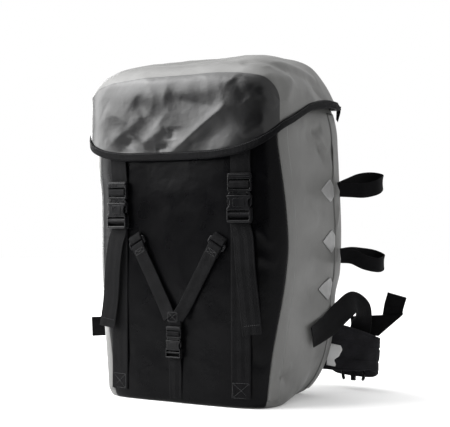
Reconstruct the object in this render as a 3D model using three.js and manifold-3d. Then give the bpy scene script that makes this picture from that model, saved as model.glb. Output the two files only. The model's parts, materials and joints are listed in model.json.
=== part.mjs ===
// Bicycle messenger backpack of welded tarpaulin with a hood lid and a front helmet harness.
// Millimetres, +Z up. The front faces -Y and the wearer's back is at +Y.
// The origin lies on the floor, in the middle of the flat base.
// A turn is the direction round the bag in degrees: 0 is the front, 90 the right side, 180 the back.

import * as THREE from 'three';
import { mergeVertices } from 'three/addons/utils/BufferGeometryUtils.js';
import Module from 'manifold-3d';

const wasm = await Module();
wasm.setup();

// Driving dimensions of the body
const bodyHalfWidth = 190;
const bodyFrontDepth = 140;
const bodyBackDepth = 125;
const bodyHeight = 530;
const tarpThickness = 2;
const clearance = 0.4;

// Driving dimensions of the lid
const lidHalfWidth = 196;
const lidFrontDepth = 152;
const lidBackDepth = 133;
const lidRise = 70;
const lidTop = bodyHeight + lidRise;
const shoulderDrop = 78;
const lidShoulder = lidTop - shoulderDrop;
const frontHemDrop = 123;
const lidFrontHem = bodyHeight - frontHemDrop;
const backHemDrop = 27;
const lidBackHem = bodyHeight - backHemDrop;
const lidSlope = 16;
const lidTaper = 0.05;
const bindingHeight = 12;
const bindingThickness = 1;

// Welded overlays
const panelThickness = 1.5;
const seamThickness = 1;
const seamGap = 0.35;
const diamondThickness = 0.8;

// Webbing and hardware
const strapWidth = 35;
const beltWidth = 38;
const narrowStrapWidth = 25;
const webbingThickness = 1.5;
const strapOffset = 121;
const strapShift = 4;
const rightBuckleHeight = 302;
const leftBuckleHeight = 292;
const strapCover = 45;
const upperStrapTop = lidFrontHem + strapCover;
const strapTailEnd = 122;
const ringHeight = 268;
const ringOffset = 80;
const ringShift = 3;
const harnessBuckleHeight = 76;
const harnessSpread = 9;
const upperLoopHeight = 360;
const lowerLoopHeight = 244;

// Carrying system at the back
const padHalfWidth = 128;
const padBottom = 228;
const padTop = 455;
const padThickness = 12;
const shoulderWidth = 64;
const shoulderThickness = 11;
const beltFinHeight = 92;
const beltFinThickness = 9;

// Rounding of the lower edge: how far it rises, how far the flat base stays inside the wall, and the turn
// from which and over which it takes the place of the one before
const baseRoundFront = { rise: 14, inset: 8 };
const baseRoundSide = { rise: 62, inset: 42, from: 48, over: 50 };
const baseRoundBack = { rise: 120, inset: 56, from: 80, over: 40 };

// Turns between which the columns follow the wandering front seams, with the turns they need to join in
const seamPull = { from: 24, joinOver: 24, until: 100, leaveOver: 34 };

// Turns over which the back hem of the lid comes to lie against the body
const holdOver = 15;

// Powers of the rounded plan sections

const bodyFrontPower = 5.5;
const bodyBackPower = 10;
const lidFrontPower = 6;
const lidBackPower = 8;

// Sections of the body: height is a share of bodyHeight, the others are shares of the half width and depths,
// lean is the sideways shift of the section and seam the turn, in degrees, that the front seams are moved by
const bodySections = [
  { height: 0.00, width: 0.905, front: 1.00, back: 0.76, lean: 0.000, seam: -4.0 },
  { height: 0.13, width: 0.935, front: 1.00, back: 0.79, lean: 0.000, seam: -3.2 },
  { height: 0.33, width: 0.972, front: 1.00, back: 0.85, lean: 0.000, seam: 1.2 },
  { height: 0.41, width: 0.985, front: 1.00, back: 0.99, lean: 0.000, seam: 3.2 },
  { height: 0.49, width: 0.992, front: 1.00, back: 1.00, lean: 0.000, seam: 4.4 },
  { height: 0.64, width: 0.995, front: 1.00, back: 1.00, lean: -0.015, seam: 2.6 },
  { height: 0.74, width: 1.000, front: 1.00, back: 1.00, lean: -0.035, seam: 0.9 },
  { height: 0.84, width: 0.995, front: 0.99, back: 1.00, lean: -0.045, seam: -0.5 },
  { height: 0.93, width: 0.950, front: 0.93, back: 0.99, lean: -0.048, seam: 0.0 },
  { height: 1.00, width: 0.860, front: 0.80, back: 0.90, lean: -0.048, seam: 0.0 },
];

// Dents of the body: turn in degrees, height and reach as shares of bodyHeight, spread in degrees,
// depth as a share of bodyHalfWidth
const bodyDents = [
  { turn: 89, height: 0.86, spread: 9, reach: 0.035, depth: 0.024 },
  { turn: 108, height: 0.80, spread: 10, reach: 0.03, depth: 0.014 },
  { turn: 62, height: 0.10, spread: 8, reach: 0.04, depth: 0.016 },
  { turn: -92, height: 0.84, spread: 12, reach: 0.04, depth: 0.018 },
  { turn: 96, height: 0.42, spread: 22, reach: 0.14, depth: 0.012 },
  { turn: -96, height: 0.45, spread: 22, reach: 0.14, depth: 0.012 },
];

// Hem of the lid: rise is the share of the way from the front hem up to the back hem
const lidHem = [
  { turn: 0, rise: 0.01 },
  { turn: 22, rise: 0.02 },
  { turn: 33, rise: 0.07 },
  { turn: 41, rise: 0.18 },
  { turn: 50, rise: 0.39 },
  { turn: 55, rise: 0.51 },
  { turn: 64, rise: 0.64 },
  { turn: 74, rise: 0.77 },
  { turn: 86, rise: 0.89 },
  { turn: 101, rise: 0.96 },
  { turn: 118, rise: 1.00 },
  { turn: 180, rise: 1.00 },
];

// Crown of the lid: reach is a share of the plan size, front and back are shares of the way from the
// shoulder to the top
const lidCrown = [
  { reach: 1.000, front: 0.00, back: 0.00 },
  { reach: 0.975, front: 0.22, back: 0.15 },
  { reach: 0.925, front: 0.42, back: 0.40 },
  { reach: 0.840, front: 0.62, back: 0.69 },
  { reach: 0.720, front: 0.80, back: 0.88 },
  { reach: 0.540, front: 0.93, back: 0.97 },
  { reach: 0.300, front: 0.99, back: 1.00 },
  { reach: 0.000, front: 1.00, back: 1.00 },
];
const crownBack = { from: 60, over: 50 };

// Dents of the lid: turn and spread in degrees, level and reach along the lid, depth as a share of lidTop
const lidDents = [
  { turn: 57, level: 1.55, spread: 12, reach: 0.30, depth: 0.013 },
  { turn: 84, level: 1.45, spread: 16, reach: 0.22, depth: 0.008 },
  { turn: -20, level: 0.70, spread: 14, reach: 0.35, depth: 0.006 },
  { turn: 18, level: 0.75, spread: 9, reach: 0.40, depth: 0.006 },
];

// Turns of the seams, then the columns that the body, the lid and their overlays share
const frontSeamTurn = 52;
const lidPanelStart = -46;
const weldSeamTurn = 60;
const rearSeamTurn = 121;
const rearSeamEndTurn = 131;
const sideColumns = [0, 12, 24, 33, 40, 46, frontSeamTurn, weldSeamTurn, 75, 92, 108,
  rearSeamTurn, rearSeamEndTurn, 136, 143, 160];
const fullTurn = [...sideColumns.slice(1).reverse().map((turn) => -turn), ...sideColumns, 180];
const baseLevel = 0.5;
const baseRows = [baseLevel, 4, 14, 34, 62, 110];
const wallShares = [0.33, 0.41, 0.49, 0.64, 0.74, 0.84, 0.93, 1];
const bodyRows = [...baseRows, ...wallShares.map((share) => share * bodyHeight)];

const degrees = Math.PI / 180;
const up = new THREE.Vector3(0, 0, 1);

function lerp(from, to, share) {
  return from + (to - from) * share;
}

function smooth(value) {
  const share = Math.min(Math.max(value, 0), 1);
  return share * share * (3 - 2 * share);
}

// Value of a column of a table at a key, read between its rows
function readTable(table, keyName, key, column) {
  const last = table.length - 1;
  let row = 0;
  while (row < last - 1 && key > table[row + 1][keyName]) row += 1;
  const from = table[row];
  const to = table[row + 1];
  const share = Math.min(Math.max((key - from[keyName]) / (to[keyName] - from[keyName]), 0), 1);
  return lerp(from[column], to[column], share);
}

// Plan section in the direction of a turn: a rounded rectangle with separate front and back
function planPoint(turn, halfWidth, front, back, frontPower, backPower) {
  const sideways = Math.sin(turn * degrees);
  const forwards = Math.cos(turn * degrees);
  const power = forwards > 0 ? frontPower : backPower;
  const depth = forwards > 0 ? front : back;
  const reach = (Math.abs(sideways) ** power + Math.abs(forwards) ** power) ** (-1 / power);
  return new THREE.Vector2(halfWidth * sideways * reach, -depth * forwards * reach);
}

function dentDepth(dents, keyName, turn, key) {
  let depth = 0;
  for (const dent of dents) {
    const across = (turn - dent.turn) / dent.spread;
    const along = (key - dent[keyName]) / dent.reach;
    depth += dent.depth * Math.exp(-across * across - along * along);
  }
  return depth;
}

// The lower edge is round: small at the front, large at the back
function baseRound(turn) {
  const angle = Math.abs(turn);
  const toSide = smooth((angle - baseRoundSide.from) / baseRoundSide.over);
  const toBack = smooth((angle - baseRoundBack.from) / baseRoundBack.over);
  return {
    rise: lerp(lerp(baseRoundFront.rise, baseRoundSide.rise, toSide), baseRoundBack.rise, toBack),
    inset: lerp(lerp(baseRoundFront.inset, baseRoundSide.inset, toSide), baseRoundBack.inset, toBack),
  };
}

// The front seams wander with height, and the columns near them follow
function seamShift(turn, height) {
  const angle = Math.abs(turn);
  const joining = smooth((angle - seamPull.from) / seamPull.joinOver);
  const leaving = smooth((seamPull.until - angle) / seamPull.leaveOver);
  const pull = joining * leaving;
  return Math.sign(turn) * pull * readTable(bodySections, 'height', height / bodyHeight, 'seam');
}

function bodyForm(column, height) {
  const share = height / bodyHeight;
  const read = (name) => readTable(bodySections, 'height', share, name);
  const turn = column + seamShift(column, height);
  const section = planPoint(turn, bodyHalfWidth * read('width'), bodyFrontDepth * read('front'),
    bodyBackDepth * read('back'), bodyFrontPower, bodyBackPower);
  const round = baseRound(turn);
  const below = Math.max(1 - height / round.rise, 0);
  const inset = round.inset * (1 - Math.sqrt(1 - below * below));
  const dent = bodyHalfWidth * dentDepth(bodyDents, 'height', turn, share);
  section.setLength(section.length() - inset - dent);
  return new THREE.Vector3(section.x + bodyHalfWidth * read('lean'), section.y, height);
}

// Point at an outward distance from a form given by a column and a level
function offsetPoint(form, column, level, step, lowest, highest, outward) {
  const point = form(column, level);
  const before = form(column - 1, level);
  const after = form(column + 1, level);
  const lower = form(column, Math.max(level - step, lowest));
  const upper = form(column, Math.min(level + step, highest));
  const normal = after.sub(before).cross(upper.sub(lower)).normalize();
  return point.addScaledVector(normal, outward);
}

const normalStep = 2;
const lidStep = 0.05;

function bodyPoint(column, height, outward) {
  return offsetPoint(bodyForm, column, height, normalStep, 0, bodyHeight, outward);
}

function hemHeight(turn) {
  return lerp(lidFrontHem, lidBackHem, readTable(lidHem, 'turn', Math.abs(turn), 'rise'));
}

// The lid: level 0 is the hem, 1 the shoulder and 2 the middle of the top
function lidForm(turn, level) {
  const lean = bodyHalfWidth * readTable(bodySections, 'height', 1, 'lean');
  const full = planPoint(turn, lidHalfWidth, lidFrontDepth, lidBackDepth, lidFrontPower,
    lidBackPower);
  const backShare = smooth((Math.abs(turn) - crownBack.from) / crownBack.over);
  full.multiplyScalar(1 - lidTaper * backShare * Math.min(level, 1));
  const dent = lidTop * dentDepth(lidDents, 'level', turn, level);
  if (level > 1) {
    const last = lidCrown.length - 1;
    const row = (level - 1) * last;
    const index = Math.min(Math.floor(row), last - 1);
    const read = (name) => lerp(lidCrown[index][name], lidCrown[index + 1][name], row - index);
    const reach = read('reach');
    const rise = lerp(read('front'), read('back'), backShare);
    const forwards = Math.max(-full.y / lidFrontDepth, 0);
    const slope = lidSlope * 4 * reach * (1 - reach) * forwards * forwards;
    const height = lerp(lidShoulder, lidTop, rise) - slope - dent * reach;
    return new THREE.Vector3(full.x * reach + lean, full.y * reach, height);
  }
  const height = lerp(hemHeight(turn), lidShoulder, level);
  full.setLength(full.length() - dent);
  const wall = new THREE.Vector3(full.x + lean, full.y, height);
  const hold = smooth((Math.abs(turn) - rearSeamEndTurn) / holdOver) * (1 - level);
  return wall.lerp(bodyPoint(turn, hemHeight(turn), clearance + tarpThickness).setZ(height), hold);
}

function lidPoint(turn, level, outward) {
  return offsetPoint(lidForm, turn, level, lidStep, 0, 2, outward);
}

// One closed body from corner points and faces, with shared corners merged and flat faces dropped
function closedMesh(points, faces) {
  const geometry = new THREE.BufferGeometry();
  const positions = [];
  for (const face of faces) {
    for (const corner of face) positions.push(...points[corner].toArray());
  }
  geometry.setAttribute('position', new THREE.Float32BufferAttribute(positions, 3));
  const merged = mergeVertices(geometry, 1e-3);
  const index = merged.getIndex().array;
  const kept = [];
  for (let i = 0; i < index.length; i += 3) {
    const [a, b, c] = [index[i], index[i + 1], index[i + 2]];
    if (a !== b && b !== c && c !== a) kept.push(a, b, c);
  }
  merged.setIndex(signedVolume(merged.getAttribute('position'), kept) < 0 ? kept.reverse() : kept);
  merged.computeVertexNormals();
  return merged;
}

function signedVolume(position, index) {
  const [a, b, c] = [new THREE.Vector3(), new THREE.Vector3(), new THREE.Vector3()];
  let volume = 0;
  for (let i = 0; i < index.length; i += 3) {
    a.fromBufferAttribute(position, index[i]);
    b.fromBufferAttribute(position, index[i + 1]);
    c.fromBufferAttribute(position, index[i + 2]);
    volume += a.dot(b.cross(c)) / 6;
  }
  return volume;
}

// A sheet between two grids of points, outer and inner, with its rims closed
function sheetSolid(outer, inner, wraps) {
  const rows = outer.length;
  const columns = outer[0].length;
  const points = [...outer.flat(), ...inner.flat()];
  const at = (side, row, column) => side * rows * columns + row * columns + (column % columns);
  const faces = [];
  const quad = (a, b, c, d) => faces.push([a, b, c], [a, c, d]);
  const lastColumn = wraps ? columns : columns - 1;
  for (let row = 0; row < rows - 1; row += 1) {
    for (let column = 0; column < lastColumn; column += 1) {
      quad(at(0, row, column), at(0, row, column + 1), at(0, row + 1, column + 1), at(0, row + 1, column));
      quad(at(1, row, column), at(1, row + 1, column), at(1, row + 1, column + 1), at(1, row, column + 1));
    }
    if (!wraps) {
      quad(at(0, row, 0), at(0, row + 1, 0), at(1, row + 1, 0), at(1, row, 0));
      const end = columns - 1;
      quad(at(0, row, end), at(1, row, end), at(1, row + 1, end), at(0, row + 1, end));
    }
  }
  const isPoint = (row) => outer[row].every((point) => point.distanceTo(outer[row][0]) < 1e-3);
  for (let column = 0; column < lastColumn; column += 1) {
    if (!isPoint(0)) quad(at(0, 0, column), at(1, 0, column), at(1, 0, column + 1), at(0, 0, column + 1));
    const last = rows - 1;
    if (!isPoint(last)) {
      quad(at(0, last, column), at(0, last, column + 1), at(1, last, column + 1), at(1, last, column));
    }
  }
  return closedMesh(points, faces);
}

// A band of webbing or padding: frames hold a point, a side direction and a facing direction
function bandSolid(frames, width, thickness) {
  const corners = [[-0.5, 0.5], [0.5, 0.5], [0.5, -0.5], [-0.5, -0.5]];
  const points = frames.flatMap((frame) => corners.map(([across, through]) => frame.point.clone()
    .addScaledVector(frame.side, across * width * (frame.scale ?? 1))
    .addScaledVector(frame.facing, through * thickness)));
  const faces = [];
  const quad = (a, b, c, d) => faces.push([a, b, c], [a, c, d]);
  for (let i = 0; i < frames.length - 1; i += 1) {
    for (let k = 0; k < 4; k += 1) {
      const next = (k + 1) % 4;
      quad(4 * i + k, 4 * i + next, 4 * i + 4 + next, 4 * i + 4 + k);
    }
  }
  const end = 4 * (frames.length - 1);
  quad(3, 2, 1, 0);
  quad(end, end + 1, end + 2, end + 3);
  return closedMesh(points, faces);
}

// Frames along a route, with the side direction kept close to a wanted one at each of its points
function routeFrames(points, sides, count) {
  const curve = new THREE.CatmullRomCurve3(points, false, 'centripetal');
  const frames = [];
  for (let i = 0; i <= count; i += 1) {
    const share = i / count;
    const point = curve.getPoint(share);
    const tangent = curve.getTangent(share);
    const place = share * (sides.length - 1);
    const index = Math.min(Math.floor(place), sides.length - 2);
    const side = sides[index].clone().lerp(sides[index + 1], place - index);
    side.addScaledVector(tangent, -side.dot(tangent)).normalize();
    frames.push({ point, side, facing: new THREE.Vector3().crossVectors(tangent, side) });
  }
  return frames;
}

const group = new THREE.Group();

const finishes = {
  greyTarp: { color: 0x6e6e6b, roughness: 0.5, metalness: 0 },
  blackTarp: { color: 0x131316, roughness: 0.25, metalness: 0 },
  webbing: { color: 0x17171a, roughness: 0.85, metalness: 0 },
  plastic: { color: 0x121214, roughness: 0.45, metalness: 0 },
  mesh: { color: 0x222225, roughness: 0.95, metalness: 0 },
  reflective: { color: 0x9b9b9a, roughness: 0.35, metalness: 0 },
};

function addPiece(name, geometry, finish, matrix) {
  const mesh = new THREE.Mesh(geometry, new THREE.MeshStandardMaterial(finishes[finish]));
  mesh.name = name;
  if (matrix) matrix.decompose(mesh.position, mesh.quaternion, mesh.scale);
  group.add(mesh);
}

const sides = [
  { label: 'left', sign: -1, buckleHeight: leftBuckleHeight },
  { label: 'right', sign: 1, buckleHeight: rightBuckleHeight },
];

// Body shell: an open bag of tarpaulin with a flat base

function addBodyShell() {
  const ring = (height, outward) => fullTurn.map((turn) => bodyPoint(turn, height, outward));
  const flat = (height, outward) => ring(baseLevel, outward).map((point) => point.setZ(height));
  const middle = (height) => fullTurn.map(() => new THREE.Vector3(0, 0, height));
  const outer = [middle(0), flat(0, 0), ...bodyRows.slice(1).map((height) => ring(height, 0))];
  const inner = [middle(tarpThickness), flat(tarpThickness, -tarpThickness),
    ...bodyRows.slice(1).map((height) => ring(height, -tarpThickness))];
  inner.forEach((row, i) => {
    if (i > 1) row.forEach((point) => point.setZ(Math.max(point.z, tarpThickness + clearance * i)));
  });
  inner[inner.length - 1].forEach((point) => point.setZ(bodyHeight));
  addPiece('body_shell', sheetSolid(outer, inner, true), 'greyTarp');
}

// A welded overlay of the body over some of its turns and heights
function bodyOverlay(turns, heights, thickness) {
  const grid = (outward) => heights.map((height) => turns.map((turn) => bodyPoint(turn, height, outward)));
  return sheetSolid(grid(clearance + thickness), grid(clearance), false);
}

const panelRows = bodyRows.slice(1, -1);
const seamRows = bodyRows.slice(2, -1);

function addOverlays() {
  const panelTurns = fullTurn.filter((turn) => Math.abs(turn) <= frontSeamTurn);
  addPiece('front_panel', bodyOverlay(panelTurns, panelRows, panelThickness), 'blackTarp');
  for (const { label, sign } of sides) {
    const strip = (turns) => {
      const sorted = turns.map((turn) => turn * sign).sort((a, b) => a - b);
      return bodyOverlay(sorted, seamRows, seamThickness);
    };
    addPiece(`front_seam_${label}`, strip([frontSeamTurn + seamGap, weldSeamTurn]), 'greyTarp');
    addPiece(`rear_seam_${label}`, strip([rearSeamTurn, rearSeamEndTurn]), 'greyTarp');
  }
}

// Frame on the body at a column and height: side runs round the bag, facing points away from it
function bodyFrame(column, height, outward) {
  const point = bodyPoint(column, height, outward);
  const facing = bodyPoint(column, height, outward + 1).sub(point).normalize();
  const side = new THREE.Vector3().crossVectors(up, facing).normalize();
  return { point, side, facing };
}

function frameMatrix(frame) {
  const upward = new THREE.Vector3().crossVectors(frame.facing, frame.side).normalize();
  const matrix = new THREE.Matrix4().makeBasis(frame.side, upward, frame.facing);
  return matrix.setPosition(frame.point);
}

// Light patches on the sides: diamonds that the rear seam clips
const diamondHeights = [188, 270, 358];
const diamondHalfHeight = 20;
const diamondReach = 36;
const diamondClip = 9;
const diamondTurn = 109;

function addDiamonds() {
  for (const { label, sign } of sides) {
    diamondHeights.forEach((height, i) => {
      const shape = new THREE.Shape();
      shape.moveTo(-diamondReach * sign / 2, 0);
      shape.lineTo(diamondReach * sign / 2 - diamondClip * sign, diamondHalfHeight);
      shape.lineTo(diamondReach * sign / 2, diamondHalfHeight / 2);
      shape.lineTo(diamondReach * sign / 2, -diamondHalfHeight / 2);
      shape.lineTo(diamondReach * sign / 2 - diamondClip * sign, -diamondHalfHeight);
      const geometry = new THREE.ExtrudeGeometry(shape, { depth: diamondThickness, bevelEnabled: false });
      const frame = bodyFrame(diamondTurn * sign, height, 2 * clearance);
      addPiece(`side_diamond_${label}_${i + 1}`, geometry, 'reflective', frameMatrix(frame));
    });
  }
}

// Lid: a hood of tarpaulin, its black panel and the tape that binds its hem

const crownLevels = lidCrown.slice(1).map((row, i) => 1 + (i + 1) / (lidCrown.length - 1));

function addLid() {
  const levels = [0, 0.5, 1, ...crownLevels];
  const grid = (outward) => levels.map((level) => fullTurn.map((turn) => {
    const point = lidPoint(turn, level, outward);
    return level === 2 ? lidForm(0, 2).setZ(lidTop + outward) : point;
  }));
  addPiece('lid_shell', sheetSolid(grid(0), grid(-tarpThickness), true), 'greyTarp');
}

// Height of the hem tape on the lid, as a level, and the gap that the panel leaves above it
const bindingGap = 0.01;

function bindingLevel(turn) {
  return bindingHeight / (lidShoulder - hemHeight(turn));
}

function addLidPanel() {
  const turns = fullTurn.filter((turn) => turn >= lidPanelStart && turn <= frontSeamTurn);
  const levels = [0, 0.5, 1, crownLevels[0], crownLevels[1]];
  const topLevel = (turn) => {
    const edge = turn > 0 ? frontSeamTurn : -lidPanelStart;
    const columnsFromEdge = fullTurn.filter((other) => other > Math.abs(turn) && other <= edge).length;
    return levels[Math.min(levels.length - 1, levels.length - 3 + columnsFromEdge)];
  };
  const grid = (outward) => levels.map((level) => turns.map((turn) => {
    const bottom = bindingLevel(turn) + bindingGap;
    return lidPoint(turn, Math.min(Math.max(level, bottom), topLevel(turn)), outward);
  }));
  const lift = 2 * clearance;
  addPiece('lid_panel', sheetSolid(grid(lift + seamThickness), grid(lift), false), 'blackTarp');
}

function addLidBinding() {
  const turns = fullTurn.filter((turn) => Math.abs(turn) <= rearSeamEndTurn);
  const section = (turn) => {
    const top = bindingLevel(turn);
    const hemPoint = (outward) => lidPoint(turn, 0, outward);
    const lowered = (outward, drop) => hemPoint(outward).addScaledVector(up, -drop);
    const lift = 4 * clearance;
    const face = lift + bindingThickness;
    return {
      outer: [lidPoint(turn, top, face), hemPoint(face), lowered(face, face), lowered(-tarpThickness, face)],
      inner: [lidPoint(turn, top, lift), hemPoint(lift), lowered(lift, clearance),
        lowered(-tarpThickness, clearance)],
    };
  };
  const sections = turns.map(section);
  const grid = (name) => [0, 1, 2, 3].map((row) => sections.map((place) => place[name][row]));
  addPiece('lid_binding', sheetSolid(grid('outer'), grid('inner'), false), 'webbing');
}

// Column of the body whose front point has a wanted sideways place at a height, found by halving
const columnLimit = 80;
const halvings = 40;

function frontColumn(x, height) {
  let low = -columnLimit;
  let high = columnLimit;
  for (let i = 0; i < halvings; i += 1) {
    const middle = (low + high) / 2;
    if (bodyForm(middle, height).x < x) low = middle;
    else high = middle;
  }
  return (low + high) / 2;
}

const panelFace = clearance + panelThickness;

// Frame on the front panel at a sideways place, a height and a lift off the panel
function frontFrame(x, height, lift) {
  return bodyFrame(frontColumn(x, height), height, panelFace + lift);
}

// Side-release buckle, sized by its webbing and a scale. Heights are measured from the line where the
// halves meet.
function buckleSizes(webbing, unit) {
  return {
    width: webbing + 6.5 * unit,
    opening: webbing + 1.2 * unit,
    thickness: 11 * unit,
    bladeThickness: 4.2 * unit,
    pocketGap: 0.4,
    neck: 4 * unit,
    lowerSlot: { from: 10 * unit, to: 14.5 * unit },
    upperSlot: { from: 20.5 * unit, to: 26 * unit },
    maleTop: 36 * unit,
    prongLength: 19 * unit,
    pocketDepth: 21 * unit,
    femaleUpperSlot: { from: -28.5 * unit, to: -24.5 * unit },
    femaleLowerSlot: { from: -40 * unit, to: -32.5 * unit },
    femaleEnd: -44.4 * unit,
    bar: { from: 3.9 * unit, to: 8 * unit },
  };
}

function rectangle(halfWidth, from, to) {
  const shape = new THREE.Shape();
  shape.moveTo(-halfWidth, from);
  shape.lineTo(halfWidth, from);
  shape.lineTo(halfWidth, to);
  shape.lineTo(-halfWidth, to);
  return shape;
}

function roundedRectangle(halfWidth, from, to, radius) {
  const shape = new THREE.Shape();
  shape.moveTo(-halfWidth + radius, from);
  shape.lineTo(halfWidth - radius, from);
  shape.absarc(halfWidth - radius, from + radius, radius, -Math.PI / 2, 0);
  shape.lineTo(halfWidth, to - radius);
  shape.absarc(halfWidth - radius, to - radius, radius, 0, Math.PI / 2);
  shape.lineTo(-halfWidth + radius, to);
  shape.absarc(-halfWidth + radius, to - radius, radius, Math.PI / 2, Math.PI);
  shape.lineTo(-halfWidth, from + radius);
  shape.absarc(-halfWidth + radius, from + radius, radius, Math.PI, Math.PI * 1.5);
  return shape;
}

function block(shape, from, to) {
  const geometry = new THREE.ExtrudeGeometry(shape, { depth: to - from, bevelEnabled: false, curveSegments: 3 });
  return geometry.translate(0, 0, from);
}

function toManifold(geometry) {
  const bare = geometry.clone();
  bare.deleteAttribute('normal');
  bare.deleteAttribute('uv');
  const merged = mergeVertices(bare, 1e-4);
  return new wasm.Manifold(new wasm.Mesh({
    numProp: 3,
    vertProperties: new Float32Array(merged.getAttribute('position').array),
    triVerts: new Uint32Array(merged.getIndex().array),
  }));
}

function fromManifold(manifold) {
  const mesh = manifold.getMesh();
  const geometry = new THREE.BufferGeometry();
  geometry.setAttribute('position', new THREE.Float32BufferAttribute(mesh.vertProperties, 3));
  geometry.setIndex(Array.from(mesh.triVerts));
  geometry.computeVertexNormals();
  return geometry;
}

function cutBlocks(base, cutters) {
  const body = cutters.reduce((rest, cutter) => rest.subtract(toManifold(cutter)), toManifold(base));
  return fromManifold(body);
}

// Shapes of the male half: the prong's outline as shares of the half width and of the prong length, and
// the half widths of neck and tongue
const prongShape = [
  { across: 0.50, along: -0.05 },
  { across: 0.72, along: -0.05 },
  { across: 0.84, along: 0.72 },
  { across: 0.74, along: 1.00 },
  { across: 0.60, along: 0.80 },
];
const neckShare = 0.88;
const tongueShare = 0.2;
const overlap = 1;

function maleBuckle(size) {
  const half = size.width / 2;
  const shape = roundedRectangle(half, size.neck, size.maleTop, size.neck / 2);
  const from = (size.thickness - size.bladeThickness) / 2;
  const to = from + size.bladeThickness;
  const plate = toManifold(block(shape, from, to));
  const neck = toManifold(block(rectangle(half * neckShare, overlap / 2, size.neck + overlap), from, to));
  const tongue = toManifold(block(rectangle(half * tongueShare, -size.prongLength, overlap), from, to));
  let body = plate.add(neck).add(tongue);
  for (const sign of [-1, 1]) {
    const prong = new THREE.Shape(prongShape.map((corner) => new THREE.Vector2(
      sign * half * corner.across, -size.prongLength * corner.along)));
    body = body.add(toManifold(block(prong, from, to)));
  }
  for (const slot of [size.lowerSlot, size.upperSlot]) {
    const cutter = block(rectangle(size.opening / 2, slot.from, slot.to), from - overlap, to + overlap);
    body = body.subtract(toManifold(cutter));
  }
  return fromManifold(body);
}

// Shapes of the female half: half width of its pocket, and the side windows, whose across is a share of
// the half width and whose from and to are shares of the pocket depth
const pocketShare = 0.9;
const sideWindow = { inner: 0.8, outer: 1.2, from: -0.35, to: -0.95 };

function femaleBuckle(size) {
  const half = size.width / 2;
  const base = block(roundedRectangle(half, size.femaleEnd, 0, size.neck), 0, size.thickness);
  const from = (size.thickness - size.bladeThickness) / 2 - size.pocketGap;
  const to = from + size.bladeThickness + 2 * size.pocketGap;
  const pocket = block(rectangle(half * pocketShare, -size.pocketDepth, overlap), from, to);
  const through = (shape) => block(shape, -overlap, size.thickness + overlap);
  const windows = [-1, 1].map((sign) => {
    const corners = [[sideWindow.inner, sideWindow.from], [sideWindow.outer, sideWindow.from],
      [sideWindow.outer, sideWindow.to], [sideWindow.inner, sideWindow.to]];
    return through(new THREE.Shape(corners.map(([across, along]) => new THREE.Vector2(
      sign * half * across, size.pocketDepth * along))));
  });
  const opening = (low, high) => rectangle(size.opening / 2, low, high);
  const slots = [size.femaleUpperSlot, size.femaleLowerSlot]
    .map((slot) => through(opening(slot.from, slot.to)));
  const behind = block(opening(size.femaleEnd - overlap, size.femaleUpperSlot.to), -overlap, size.bar.from);
  const front = block(opening(size.femaleLowerSlot.from, size.femaleUpperSlot.to), size.bar.to,
    size.thickness + overlap);
  return cutBlocks(base, [pocket, ...windows, ...slots, behind, front]);
}

// Route of webbing in the buckle's own plane: along is the height, through the distance from its back
function buckleRoute(matrix, places) {
  return places.map(([along, through]) => new THREE.Vector3(0, along, through).applyMatrix4(matrix));
}

function sidesOf(matrix, count) {
  const side = new THREE.Vector3().setFromMatrixColumn(matrix, 0);
  return new Array(count).fill(side);
}

function routeBand(points, sideList, count, width) {
  return bandSolid(routeFrames(points, sideList, count), width, webbingThickness);
}

// The two front straps with their buckles

const buckleLift = 1;
const frontBuckle = buckleSizes(strapWidth, 1);
const plyLift = 1.5;

function addFrontStrap({ label, sign, buckleHeight }) {
  const x = strapOffset * sign + strapShift;
  const meeting = buckleHeight - frontBuckle.femaleEnd;
  const matrix = frameMatrix(frontFrame(x, meeting, buckleLift));
  addPiece(`strap_buckle_upper_${label}`, maleBuckle(frontBuckle), 'plastic', matrix);
  addPiece(`strap_buckle_lower_${label}`, femaleBuckle(frontBuckle), 'plastic', matrix);
  addUpperStrap(label, x, matrix);
  addLowerStrap(label, x, buckleHeight, matrix);
}

function middleOf(slot) {
  return (slot.from + slot.to) / 2;
}

// Webbing looped round the bar of a male half: down behind its top, over the bar and up again behind
function maleLoop(size) {
  const blade = (size.thickness - size.bladeThickness) / 2;
  const reach = webbingThickness / 2 + 0.35;
  const behind = blade - reach;
  const before = blade + size.bladeThickness + reach;
  const half = (behind + before) / 2;
  const returning = behind - webbingThickness - 0.3;
  const into = middleOf(size.upperSlot);
  const out = middleOf(size.lowerSlot);
  return [
    [size.maleTop + 2, behind], [size.upperSlot.to, behind], [into + 0.4, behind + 0.8], [into, half],
    [into - 0.4, before - 0.5], [size.upperSlot.from, before + 0.2], [(into + out) / 2, before + 0.2],
    [size.lowerSlot.to, before + 0.2], [out + 0.4, before - 0.5], [out, half], [out + 0.2, behind - 0.2],
    [size.lowerSlot.to, returning + 0.4], [size.upperSlot.to, returning], [size.maleTop + 8, returning],
  ];
}

// Webbing under the lid: share of the turn it keeps, its gap from the lid and the length held there
const underLidTurn = 0.985;
const underLidGap = 2;
const underLidStep = 20;

function strapMeetsBuckle(size) {
  return [size.maleTop + strapWidth / 2, 3.4];
}

function addUpperStrap(label, x, matrix) {
  const size = frontBuckle;
  const underLid = (height) => {
    const turn = frontColumn(x, height) * underLidTurn;
    const level = (height - hemHeight(turn)) / (lidShoulder - hemHeight(turn));
    return lidPoint(turn, level, -tarpThickness - clearance - webbingThickness / 2 - underLidGap);
  };
  const points = [underLid(upperStrapTop), underLid(upperStrapTop - underLidStep),
    ...buckleRoute(matrix, [strapMeetsBuckle(size), ...maleLoop(size)])];
  addPiece(`strap_upper_${label}`, routeBand(points, sidesOf(matrix, 2), 42, strapWidth), 'webbing');
}

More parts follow.
